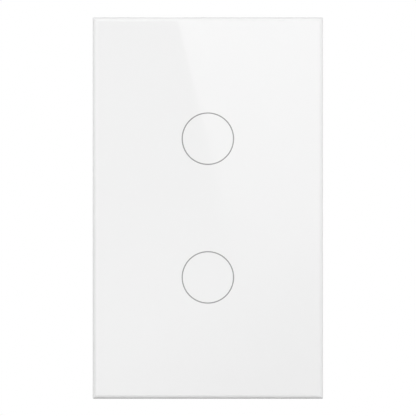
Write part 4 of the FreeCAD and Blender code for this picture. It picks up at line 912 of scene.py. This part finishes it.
@dataclass
class Screw:
    """A screw along Y with its head at the far end, a turned head, a carved drive and a rolled thread.

    The threaded shank's radius at angle a and station y is root + depth * wave(y / pitch - a / 360 degrees),
    where wave is a triangle cut off at its crest, so the crest climbs one pitch in each turn.
    """

    centre: Pair
    tip: float
    end: float
    shank_radius: float
    head_radius: float
    head_height: float
    pitch: float
    thread_length: float
    drive: Drive
    recess: Pair
    steps: int
    sides: int = 40
    flank: float = 1.35
    root_flat: float = 0.1
    thread_depth: float = 0.45
    tip_share: float = 0.35
    rim_share: float = 0.32
    rim_run: float = 1.4
    slot_reach: float = 1.3
    cross_reach: float = 0.62
    seat_bevel: float = 0.00012

    @property
    def seat_at(self) -> float:
        """Y of the head's flat seat."""
        return self.end - self.head_height

    def shank(self) -> Shell:
        """Points and faces of the shank, from its pointed tip to its head."""
        rows = int((self.seat_at - self.tip) / self.pitch * self.steps) + 2
        station = np.linspace(self.tip, self.seat_at, rows)[:, None]
        phase = np.mod(station / self.pitch - np.arange(self.sides) / self.sides, 1.0)
        wave = np.clip(self.flank * (1.0 - np.abs(2.0 * phase - 1.0)) - self.root_flat, 0.0, 1.0)
        threaded = np.clip((self.tip + self.thread_length - station) / self.pitch, 0.0, 1.0)
        taper = np.clip((station - self.tip) / self.shank_radius, self.tip_share, 1.0)
        radius = (self.shank_radius - self.pitch * self.thread_depth * (1.0 - wave) * threaded) * taper
        return turned(radius, station, self.centre, self.sides)

    def head(self) -> Shell:
        """Points and faces of the head: a flat seat, upright side and a rim rounded by a quarter ellipse."""
        turn = np.linspace(0.0, np.pi / 2.0, 8)
        rim = self.rim_share * self.head_height
        radius = np.append([self.head_radius - self.seat_bevel, self.head_radius],
                           self.head_radius - rim * self.rim_run * (1.0 - np.cos(turn)))
        station = np.append([self.seat_at, self.seat_at + self.seat_bevel],
                            self.end - rim * (1.0 - np.sin(turn)))
        return turned(radius[:, None], station[:, None], self.centre, self.sides)

    def cutters(self) -> list[Piece]:
        """Boxes that carve the drive recess."""
        reach = self.head_radius * (self.slot_reach if self.drive is Drive.SLOT else self.cross_reach)
        half, depth = self.recess[0] / 2.0, [[self.end - self.recess[1]], [self.end + MILLIMETRE]]
        return [
            new_piece("drive_cutter", swept(self.centre[0] + SECTION_SIDES * across, depth,
                                            self.centre[1] + (2.0 * SECTION_TOPS - 1.0) * up))
            for across, up in ((reach, half), (half, reach))[: self.drive.value]
        ]

    def shell(self) -> Shell:
        """Points and faces of the whole screw with its carved head."""
        head, cutters = new_piece("screw_head", self.head()), self.cutters()
        for cutter in cutters:
            carve = head.modifiers.new("drive", "BOOLEAN")
            carve.operation, carve.solver, carve.object = "DIFFERENCE", "EXACT", cutter
        bpy.context.view_layer.update()
        evaluated = head.evaluated_get(bpy.context.evaluated_depsgraph_get())
        carved = evaluated.to_mesh()
        points = np.zeros(len(carved.vertices) * 3)
        carved.vertices.foreach_get("co", points)
        faces = [np.array([list(polygon.vertices)]) for polygon in carved.polygons]
        evaluated.to_mesh_clear()
        for piece in (head, *cutters):
            bpy.data.meshes.remove(piece.data)
        return joined([self.shank(), (points.reshape(-1, 3), faces)])


@dataclass
class Fasteners:
    """The clamp screws of the terminals and the case screws at the corners of the box."""

    clamp_shank: float = 0.0015
    clamp_head_height: float = 0.0016
    clamp_pitch: float = 0.0005
    clamp_recess: Pair = (0.0008, 0.0009)
    case_shank: float = 0.00125
    case_head: float = 0.0022
    case_head_height: float = 0.0011
    case_pitch: float = 0.0009
    case_thread: float = 0.009
    case_recess: Pair = (0.0007, 0.0007)

    def build(self) -> None:
        """Make each screw and stand it in for its CAD node."""
        for number in range(1, 5):
            node = f"terminal_screw_{number}"
            low, high = corners(node)
            middle = (low + high) / 2.0
            screw = Screw((middle[0], middle[2]), low[1], high[1], self.clamp_shank, (high[0] - low[0]) / 2.0,
                          self.clamp_head_height, self.clamp_pitch, high[1] - low[1], Drive.SLOT,
                          self.clamp_recess, steps=8)
            made(f"clamp_screw_body_{number}", screw.shell(), SCREW_ZINC, node)
        low, high = corners("case_screws")
        screws = [
            Screw(((high[0] - self.case_head) * across, (high[2] - self.case_head) * up), low[1], high[1],
                  self.case_shank, self.case_head, self.case_head_height, self.case_pitch, self.case_thread,
                  Drive.CROSS, self.case_recess, steps=6)
            for across in (-1, 1) for up in (-1, 1)
        ]
        made("case_screw_bodies", joined([screw.shell() for screw in screws]), SCREW_ZINC, "case_screws")


@dataclass
class TouchSpring:
    """A wound spring between the touch board and the back of the glass.

    The wire's centre runs straight off the board, bends into a helix of a whole number of turns and leaves it
    the same way. Its path is smoothed by a moving average before a circle is carried along it.
    """

    side: Side
    wire: float = 0.0005
    turns: float = 2.0
    lead: float = math.radians(30.0)
    stub_share: float = 0.05
    stub_wires: float = 1.6
    sides: int = 16
    samples: int = 520
    window: int = 15

    def path(self, middle: float, radius: float, foot: float, crown: float) -> np.ndarray:
        """Centre of the wire.

        Between the two stubs the angle runs evenly and the station follows it, level over each lead-in; the
        moving average rounds the corners where the stubs meet the helix.

        Args:
            middle: Z of the spring's axis.
            radius: Radius of the turns.
            foot: Y of the end on the board.
            crown: Y of the end at the glass.

        Returns:
            (n, 3) points.
        """
        total = 2.0 * np.pi * self.turns + 2.0 * self.lead
        start, stub = self.stub_share, self.wire * self.stub_wires
        share = np.linspace(0.0, 1.0, self.samples)
        angle = -self.lead + total * np.clip((share - start) / (1.0 - 2.0 * start), 0.0, 1.0)
        station = np.interp(share, [0.0, start, 1.0 - start, 1.0], [foot, foot - stub, crown + stub, crown])
        line = np.column_stack((radius * np.cos(angle), station, middle + radius * np.sin(angle)))
        padded = np.pad(line, ((self.window // 2, self.window // 2), (0, 0)), mode="edge")
        kernel = np.ones(self.window) / self.window
        smooth = np.column_stack([np.convolve(axis, kernel, mode="valid") for axis in padded.T])
        smooth[[0, -1]] = line[[0, -1]]
        return smooth

    def build(self) -> None:
        """Make the spring, with the wire's circles set by the way out from its axis."""
        node = f"touch_spring_{self.side.name.lower()}"
        low, high = corners(node)
        middle = (low[2] + high[2]) / 2.0
        line = self.path(middle, (high[0] - low[0] - self.wire) / 2.0, high[1], low[1])
        radial = line * [1.0, 0.0, 1.0] - [0.0, 0.0, middle]
        made(f"{node}_wire", wire_shell(line, radial, self.wire / 2.0, self.sides), SPRING_WIRE, node)


@dataclass
class TouchElectronics:
    """The touch board with its lamps, light guides, springs, radio and controller."""

    edge: float = 0.0001

    def build(self) -> None:
        """Dress the boards and small parts, and wind the springs."""
        for node, finish in (("touch_board", BOARD_GREEN), ("wifi_module", BOARD_BLUE),
                             ("indicator_leds", LAMP_WHITE), ("link_pins", GOLD_PINS)):
            dress(frame["nodes"][node], finish)
        for node, finish in (("wifi_shield", TINNED_SHEET), ("touch_chip", CHIP_BLACK),
                             ("link_socket", CONNECTOR_BLACK), ("link_header", CONNECTOR_BLACK),
                             ("light_guide_top", GUIDE_MILK), ("light_guide_bottom", GUIDE_MILK)):
            softened(node, self.edge, finish)
        for side in Side:
            TouchSpring(side).build()


@dataclass(frozen=True)
class LegRows:
    """Gull-wing legs along the two long sides of a chip, as many on each side.

    A leg leaves the body level, falls from its rise to the board by s^2 (3 - 2 s) through its bend, and ends
    flat on the board.
    """

    count: int
    pitch: float = 0.00127
    width: float = 0.00042
    thickness: float = 0.0002
    reach: float = 0.00105
    rooted: float = 0.0002
    rise_share: float = 0.42
    bend_from: float = 0.22
    bend_run: float = 0.36

    def leg(self, rise: float) -> Shell:
        """A leg in a stamp's axes.

        Args:
            rise: Height above the board at which it leaves the body.

        Returns:
            Points and faces.
        """
        out = np.linspace(-self.rooted, self.reach, 15)
        share = np.clip((out / self.reach - self.bend_from) / self.bend_run, 0.0, 1.0)
        height = rise + (self.thickness / 2.0 - rise) * share**2 * (3.0 - 2.0 * share)
        slope = np.gradient(height, out)[:, None]
        face = (SECTION_TOPS - 0.5) * self.thickness / np.hypot(1.0, slope)
        return swept(SECTION_SIDES * self.width / 2.0, height[:, None] + face, out[:, None] - face * slope)

    def shell(self, low: np.ndarray, high: np.ndarray) -> Shell:
        """Legs along the sides of a chip's box that face up and down.

        Args:
            low: Lowest corner of the chip.
            high: Highest corner.

        Returns:
            Points and faces of all legs.
        """
        along = (np.arange(self.count) - (self.count - 1) / 2.0) * self.pitch + (low[0] + high[0]) / 2.0
        places = np.array([(x, low[1], z) for z in (low[2], high[2]) for x in along])
        ways = np.repeat([[0.0, -1.0], [0.0, 1.0]], self.count, axis=0)
        return stamped(self.leg((high[1] - low[1]) * self.rise_share), places, ways)


@dataclass
class BoardDetails:
    """Small parts and solder of both boards: chip legs, chip resistors and capacitors, joints and the aerial.

    A row of parts is written as the X and Z of its first, the step across and up to the next, and their
    count, in millimetres. The parts of a row that goes across stand upright, and the others lie.
    """

    module_pitch: float = 0.002
    module_contacts: int = 8
    module_start: float = 0.0015
    wedge_width: float = 0.001
    wedge_rise: float = 0.95
    wedge_run: float = 0.0008
    supply_chip: float = 0.0049
    joint_radius: float = 0.00095
    pin_radius: float = 0.0004
    joint_height: float = 0.0011
    joint_hollow: float = 2.2
    cone_share: float = 0.7
    pin_stations: Pair = (0.92, 1.0)
    pin_taper: Pair = (0.97, 0.6)
    body_share: float = 0.7
    end_share: float = 0.68
    end_swell: Triple = (1.02, 1.03, 1.001)
    foot_shares: Pair = (0.8, 0.7)
    foot_most: Pair = (0.0006, 0.0004)
    aerial_line: float = 0.0005
    aerial_left: float = -0.0054
    aerial_pitch: float = 0.0012
    aerial_turns: Pair = (0.0045, 0.0012)
    aerial_levels: Pair = (-0.00002, 0.000035)
    lead_bend: float = 0.0005
    lead_start: float = 0.00045
    lead_radius: float = 0.00035
    lead_root: Pair = (-0.0003, 0.0002)
    lead_foot: float = 0.0004
    spring_foot: float = 4.495
    spring_lead: float = math.radians(30.0)
    ring_middle: float = 21.825

    @staticmethod
    def on_board(spots: list[Pair], level: float) -> np.ndarray:
        """Places on a board's face from X and Z in millimetres."""
        x, z = np.array(spots).T * MILLIMETRE
        return np.column_stack((x, np.full(len(x), level), z))

    @staticmethod
    def solder(name: str, *shells: Shell) -> None:
        """Make a piece of solder or tinned metal on the fixed body."""
        made(name, joined(list(shells)), SOLDER, "terminal_bars", replaces=False)

    def legs(self) -> None:
        """Legs of the controller, the bridge and the two supply chips."""
        self.solder("controller_legs", LegRows(8).shell(*corners("touch_chip")))
        bridge = LegRows(2, pitch=0.0038, width=0.0009, thickness=0.0003)
        self.solder("bridge_legs", bridge.shell(*corners("bridge_rectifier")))
        low, high = corners("power_chips")
        step = np.array([high[0] - low[0] - self.supply_chip, 0.0, 0.0])
        rows = LegRows(4)
        self.solder("supply_chip_legs", rows.shell(low, high - step), rows.shell(low + step, high))

    def chip_parts(self, name: str, level: float, finish: Finish, size: Triple, rows: tuple) -> None:
        """Chip resistors, capacitors or diodes: bodies, and tinned ends with a fillet down to the board.

        Args:
            name: Name of the group.
            level: Y of the board's face.
            finish: Finish of the bodies.
            size: Width, height and length of a part.
            rows: The rows of parts.
        """
        width, height, length = size
        spots = [(x + across * i, z + up * i) for x, z, across, up, count in rows for i in range(count)]
        ways = np.array([(0.0, 1.0) if row[2] else (1.0, 0.0) for row in rows for _ in range(row[4])])
        places = self.on_board(spots, level)
        half, wider, higher = length / 2.0, width * self.end_swell[0], height * self.end_swell[1]
        rise, run = np.minimum(height * np.array(self.foot_shares), self.foot_most)
        body = block(width, SOLDER_FILM, height, -half * self.body_share, half * self.body_share)
        made(name, stamped(body, places, ways), finish, "touch_chip", replaces=False)
        ends = (block(wider, 0.0, higher, half * self.end_share, half * self.end_swell[2]),
                fillet(width, rise, run, half, 6))
        self.solder(f"{name}_ends",
                    *(stamped(end, places, ways * sign) for end in ends for sign in (1.0, -1.0)))

    def joints(self, name: str, level: float, way: float, spots: list[Pair]) -> None:
        """Solder cones round pin ends; the radius falls as a hollow curve from the board to the pin.

        Args:
            name: Name of the group.
            level: Y of the board's face.
            way: Height of a joint as a share of the usual, less than zero where the pins stick out forwards.
            spots: X and Z of the pins in millimetres.
        """
        share = np.linspace(0.0, 1.0, 8)
        radius = self.pin_radius + (self.joint_radius - self.pin_radius) * (1.0 - share) ** self.joint_hollow
        radius = np.append(radius, self.pin_radius * np.array(self.pin_taper))
        station = np.append(share * self.cone_share, self.pin_stations) * self.joint_height * way
        cone = turned(radius[:, None], station[:, None], (0.0, 0.0), 18)
        self.solder(name, stamped(cone, self.on_board(spots, level), np.tile([0.0, 1.0], (len(spots), 1))))

    def leads(self) -> None:
        """Leads of the fuse resistor: straight out of its ends, round a quarter circle and down to a pad."""
        low, high = corners("fuse_resistor")
        axis, middle = (low[1] + high[1]) / 2.0, (low[2] + high[2]) / 2.0
        turn = np.linspace(0.0, np.pi / 2.0, 10)
        across = np.concatenate((self.lead_root, self.lead_start + self.lead_bend * np.sin(turn),
                                 np.full(2, self.lead_start + self.lead_bend)))
        down = np.concatenate(([axis, axis], axis - self.lead_bend * (1.0 - np.cos(turn)),
                               [low[1] + self.lead_foot, low[1]]))
        self.solder("resistor_leads", *(
            wire_shell(np.column_stack((end + sign * across, down, np.full(len(down), middle))),
                       np.array([0.0, 0.0, 1.0]), self.lead_radius, 14)
            for end, sign in ((low[0], -1.0), (high[0], 1.0))))

    def module(self) -> None:
        """Solder along the radio module's sides and the aerial printed on it.

        The aerial's line turns by right angles, so a corner is set off by the sum of its two sides' normals.
        """
        low, high = corners("wifi_module")
        wedge = fillet(self.wedge_width, (high[1] - low[1]) * self.wedge_rise, self.wedge_run, 0.0, 7)
        along = low[2] + self.module_start + np.arange(self.module_contacts) * self.module_pitch
        places = np.array([(x, low[1], z) for x in (low[0], high[0]) for z in along])
        ways = np.repeat([[-1.0, 0.0], [1.0, 0.0]], self.module_contacts, axis=0)
        self.solder("module_solder", stamped(wedge, places, ways))
        turns = self.aerial_left + np.repeat(np.arange(10), 2) * self.aerial_pitch
        far, near = self.aerial_turns
        line = np.column_stack((turns, high[2] - np.tile([far, near, near, far], 5)))
        way = np.diff(line, axis=0)
        way /= np.linalg.norm(way, axis=1, keepdims=True)
        normal = np.column_stack((-way[:, 1], way[:, 0])) * self.aerial_line / 2.0
        offset = np.concatenate((normal[:1], normal[:-1] + normal[1:], normal[-1:]))
        side = line[:, None] - offset[:, None] * SECTION_SIDES[:, None]
        sunk, proud = self.aerial_levels
        shell = swept(side[..., 0], high[1] + sunk + (proud - sunk) * SECTION_TOPS, side[..., 1])
        made("printed_aerial", shell, GOLD_PINS, "link_pins", replaces=False)

    @staticmethod
    def pins() -> list[Pair]:
        """X and Z in millimetres of the power board's joints: terminals, relays, transformer and supply."""
        spots = [(x + side, -22.7) for x in (-10.95, -3.65, 3.65, 10.95) for side in (-1.2, 1.2)]
        for number in (1, 2):
            low, high = (corner / MILLIMETRE for corner in corners(f"relay_base_{number}"))
            left, right, middle = low[0], high[0], (low[2] + high[2]) / 2.0
            spots += [(left + 1.4, middle - 2.8), (left + 1.4, middle + 2.8), (left + 4.4, middle),
                      (right - 1.3, middle - 2.5), (right - 1.3, middle + 2.5)]
        spots += [(x, z) for x in (-14.5, -12.0, -9.5) for z in (15.0, 23.0)]
        spots += [(1.2 + side, z) for z in (16.5, 25.3) for side in (-1.75, 1.75)]
        return spots + [(10.4, 15.0), (10.4, 25.0), (16.6, 17.0), (16.6, 23.8), (7.75, 8.6), (18.25, 8.6)]

    def build(self) -> None:
        """Add every small part."""
        touch, power = corners("touch_board"), corners("power_board")
        self.legs()
        self.leads()
        self.module()
        for name, board, finish, size, rows in (
            ("touch_board_resistors", touch, CHIP_BLACK, (0.0008, 0.00045, 0.0016),
             ((-6.0, -19.4, 2.4, 0, 6), (-11.0, 6.0, 0, 2.4, 3), (11.4, 20.0, 0, -42.6, 2),
              (-11.6, -22.6, 0, 1, 1))),
            ("touch_board_capacitors", touch, CERAMIC_TAN, (0.00125, 0.0008, 0.002),
             ((11.6, -16.0, 0, 2.4, 2), (-4.4, -14.0, -2.4, 0, 2), (11.2, 6.0, 0, 2.8, 3))),
            ("power_board_resistors", power, CHIP_BLACK, (0.00125, 0.0005, 0.002),
             ((0.4, -4.6, 2.4, 0, 3), (-14.6, 1.2, 0, 1, 1), (9.2, 2.4, 2.4, 0, 3))),
            ("power_board_diodes", power, CHIP_BLACK, (0.0022, 0.0016, 0.0038),
             ((-12.0, -6.4, 0, 1, 1), (12.0, -6.4, 0, 1, 1), (2.0, 1.6, 0, 1, 1))),
        ):
            self.chip_parts(name, board[1][1], finish, size, rows)
        self.joints("power_board_joints", power[0][1], -1.0, self.pins())
        self.joints("link_joints", power[1][1], 0.6, [(x, -3.0) for x in (-12.0, -10.0, -8.0, -6.0, -4.0)])
        foot = self.spring_foot * math.cos(self.spring_lead)
        fall = self.spring_foot * math.sin(self.spring_lead)
        self.joints("spring_joints", touch[0][1], -0.5,
                    [(foot, side.value * self.ring_middle - fall) for side in Side])


@dataclass
class RelayCoil:
    """A relay's bobbin with enamelled wire wound side by side between its square ends.

    The wound surface's radius at share s of its length is core + wire / 2 * |sin(pi * turns * s)|.
    """

    number: int
    core: float = 0.00322
    flange: float = 0.00064
    wire: float = 0.00016
    edge: float = 0.00008

    def build(self) -> None:
        """Round the bobbin's edges and wind the coil on it."""
        node = f"relay_coil_{self.number}"
        softened(node, self.edge, BOBBIN_IVORY)
        low, high = corners(node)
        start, end = low[1] + self.flange, high[1] - self.flange
        turns = round((end - start) / self.wire)
        share = np.linspace(0.0, 1.0, turns * 8 + 1)[:, None]
        radius = self.core + self.wire / 2.0 * np.abs(np.sin(np.pi * turns * share))
        middle = (low + high) / 2.0
        winding = turned(radius, start + (end - start) * share, (middle[0], middle[2]), 72)
        made(f"relay_winding_{self.number}", winding, ENAMELLED_COPPER, node, replaces=False)


@dataclass
class PowerElectronics:
    """The mains board with its relays, supply and terminals."""

    edge: float = 0.00012
    block_edge: float = 0.0002
    case_edge: float = 0.00025

    def relays(self) -> None:
        """Dress the two relays."""
        for number in (1, 2):
            for part, finish in (("yoke", RELAY_IRON), ("armature", RELAY_IRON), ("leaf", CONTACT_ALLOY),
                                 ("contacts", CONTACT_ALLOY)):
                dress(frame["nodes"][f"relay_{part}_{number}"], finish)
            softened(f"relay_case_{number}", self.case_edge, RELAY_BLACK)
            softened(f"relay_base_{number}", self.edge, RELAY_BLACK)
            RelayCoil(number).build()

    def build(self) -> None:
        """Dress everything on the mains board."""
        dress(frame["nodes"]["power_board"], BOARD_GREEN)
        for node, finish in (("transformer_core", FERRITE_GREY), ("transformer_bobbin", BOBBIN_BLACK),
                             ("transformer_winding", TRANSFORMER_TAPE), ("bulk_capacitors", CAN_SLEEVE),
                             ("safety_capacitor", FILM_BOX), ("varistor", DISC_BLUE),
                             ("fuse_resistor", RESISTOR_GREEN), ("bridge_rectifier", CHIP_BLACK),
                             ("power_chips", CHIP_BLACK), ("terminal_bars", TINNED_COPPER),
                             *((f"terminal_cage_{number}", CAGE_ZINC) for number in range(1, 5))):
            softened(node, self.edge, finish)
        softened("terminal_block", self.block_edge, TERMINAL_BLACK)
        self.relays()


@dataclass
class Studio:
    """A pale floor, soft light from above and in front, a card that the glass reflects, and the camera.

    The world's light for diffuse rays is even + frontal * (share towards the front) + upper * (share towards
    the top) + rightward * (share towards the right). The floor keeps most of it from sides that face down,
    which are the darkest in the photograph too.
    """

    floor_level: float = -0.22
    floor_reach: float = 1.3
    floor_sides: int = 96
    floor_fade: Pair = (0.25, 0.8)
    floor_tone: float = 0.86
    floor_bounce: float = 0.42
    floor_glow: float = 0.26
    even: float = 0.6
    frontal: float = 1.42
    upper: float = -0.6
    rightward: float = 0.13
    least_light: float = 0.05
    camera_lens: float = 200.0
    sensor_width: float = 36.0
    frame_width: float = 0.1309
    focus_plane: float = -0.0072
    camera_shift: Pair = (0.000038, 0.000016)
    card_half: Pair = (0.17, 0.22)
    card_distance: float = 1.5
    card_lean: float = 0.2437
    card_edge: Pair = (0.0143, 0.0157)
    card_glow: float = 1.25
    card_shade: float = 0.76
    card_lift: float = 1.5
    lift_height: float = 0.38
    glow_foot: float = 0.07
    glow_rise: float = 0.245
    shade_slope: float = 0.505
    shade_start: float = -0.0849
    shade_run: float = 0.122

    def world(self) -> None:
        """A soft even world that looks plain white to the camera, in reflections and through glass."""
        world = bpy.context.scene.world = bpy.data.worlds.new("studio_world")
        bench = cleared(world)
        sky = bench.node("TexCoord").outputs["Generated"]
        ways = (self.rightward, -self.frontal, self.upper)
        lean = bench.node("VectorMath", {0: sky, 1: ways}, operation="DOT_PRODUCT").outputs["Value"]
        level = bench.math("MAXIMUM", bench.math("ADD", lean, self.even), self.least_light)
        lit = bench.node("Background", {"Color": WHITE, "Strength": level})
        seen = bench.node("Background", {"Color": WHITE, "Strength": 1.0})
        rays = bench.node("LightPath").outputs
        share = bench.math("MAXIMUM", rays["Is Camera Ray"], rays["Is Glossy Ray"])
        share = bench.math("MAXIMUM", share, rays["Is Transmission Ray"])
        bench.node("OutputWorld", {"Surface": bench.node("MixShader", {0: share, 1: lit, 2: seen})})

    def floor(self) -> None:
        """A round floor that keeps the shadow under the switch, fades to white and is clear from below."""
        angle = np.arange(self.floor_sides) * 2.0 * np.pi / self.floor_sides
        rim = np.column_stack((self.floor_reach * np.cos(angle), self.floor_reach * np.sin(angle),
                               np.full(self.floor_sides, self.floor_level)))
        piece = new_piece("floor", (rim, [np.arange(self.floor_sides)[None, :]]), solid=False)
        material = bpy.data.materials.new("floor_white")
        bench = cleared(material)
        across, along, _ = bench.split(bench.node("TexCoord").outputs["Object"])
        far = bench.ramp(bench.reach(across, along), *self.floor_fade)
        seen = bench.node("LightPath").outputs["Is Camera Ray"]
        tone = bench.blend(seen, (self.floor_bounce,) * 3, (self.floor_tone,) * 3)
        matt = bench.node("BsdfDiffuse", {"Color": tone})
        pale = bench.node("Emission", {"Strength": bench.math("MULTIPLY", seen, self.floor_glow)})
        lit = bench.node("AddShader", {0: matt, 1: pale})
        white = bench.node("Emission", {"Color": WHITE, "Strength": 1.0})
        above = bench.node("MixShader", {0: bench.math("MULTIPLY", far, seen), 1: lit, 2: white})
        below = bench.node("NewGeometry").outputs["Backfacing"]
        clear = bench.node("BsdfTransparent")
        bench.node("OutputMaterial", {"Surface": bench.node("MixShader", {0: below, 1: above, 2: clear})})
        piece.data.materials.append(material)

    def lamp(self, name: str, place: Triple, size: float, power: float) -> Piece:
        """A square soft lamp aimed at the middle of the plate.

        Args:
            name: Name of the lamp.
            place: Where it stands.
            size: Length of its side.
            power: Watts.

        Returns:
            The lamp.
        """
        light = bpy.data.lights.new(name, "AREA")
        light.shape, light.size, light.energy = "SQUARE", size, power
        lamp = linked(name, light)
        lamp.location = place
        lamp.rotation_euler = (-lamp.location).to_track_quat("-Z", "Y").to_euler()
        return lamp

    def card(self) -> None:
        """A pale card behind the camera that only reflections see.

        It is about as bright as the world, brighter to the right of a leaning line, by less further down, and
        dimmer below a second line that rises to the right, as the reflection in the photograph is. Its even
        lift towards the foot makes up for the light that the floor keeps from the lower part of the plate.
        """
        corner = np.array([(-1, 1), (1, 1), (1, -1), (-1, -1)]) * self.card_half
        points = np.column_stack((corner[:, 0], np.full(4, -self.card_distance), corner[:, 1]))
        piece = new_piece("reflection_card", (points, [np.arange(4)[None, :]]), solid=False)
        material = bpy.data.materials.new("card_glow")
        bench = cleared(material)
        across, _, up = bench.split(bench.node("TexCoord").outputs["Object"])
        right = bench.ramp(bench.math("MULTIPLY_ADD", up, self.card_lean, across), *self.card_edge)
        fade = bench.math("DIVIDE", bench.math("ADD", up, self.glow_foot), self.glow_rise, clamp=True)
        glow = bench.math("MULTIPLY", bench.math("MULTIPLY", right, fade), self.card_glow)
        edge = bench.math("MULTIPLY_ADD", across, self.shade_slope, self.shade_start)
        shade = bench.math("DIVIDE", bench.math("SUBTRACT", edge, up), self.shade_run, clamp=True)
        slope = -self.card_lift / self.lift_height
        level = bench.math("MULTIPLY_ADD", up, slope, bench.math("ADD", glow, 1.0))
        level = bench.math("MULTIPLY_ADD", shade, -self.card_shade, level)
        bench.node("OutputMaterial", {"Surface": bench.node("Emission", {"Color": WHITE, "Strength": level})})
        piece.data.materials.append(material)
        piece.visible_camera = piece.visible_diffuse = False
        piece.visible_shadow = piece.visible_transmission = False

    def camera(self) -> None:
        """A long lens straight in front of the plate, as far off as gives the photograph's frame."""
        lens = bpy.data.cameras.new("camera")
        lens.lens, lens.sensor_width = self.camera_lens, self.sensor_width
        lens.clip_start, lens.clip_end = 0.01, 20.0
        distance = self.frame_width * self.camera_lens / self.sensor_width
        camera = linked("camera", lens)
        camera.location = (self.camera_shift[0], self.focus_plane - distance, self.camera_shift[1])
        camera.rotation_euler = (math.radians(90.0), 0.0, 0.0)
        bpy.context.scene.camera = camera

    def build(self) -> None:
        """Set up the whole studio."""
        bpy.context.scene.view_settings.view_transform = "Standard"
        self.world()
        self.floor()
        self.lamp("front_softbox", (-0.6, -2.4, 0.6), 1.0, 4.0)
        for name, place, power in (("rear_softbox", (0.35, 2.2, 0.8), 24.0),
                                   ("left_softbox", (-1.7, 1.3, 0.6), 15.0),
                                   ("right_softbox", (1.7, 1.3, 0.6), 15.0)):
            self.lamp(name, place, 1.3, power).visible_glossy = False
        self.card()
        self.camera()


def main() -> None:
    """Build the studio and dress the switch, from the glass back to the terminals."""
    logging.basicConfig(level=logging.INFO, format="%(name)s: %(message)s")
    for assembly in (Studio(), GlassPlate(), PanelBacking(), Enclosure(), TouchElectronics(), BoardDetails(),
                     PowerElectronics(), Fasteners()):
        assembly.build()
        LOG.info("%s done", type(assembly).__name__)


if __name__ == "__main__":
    main()
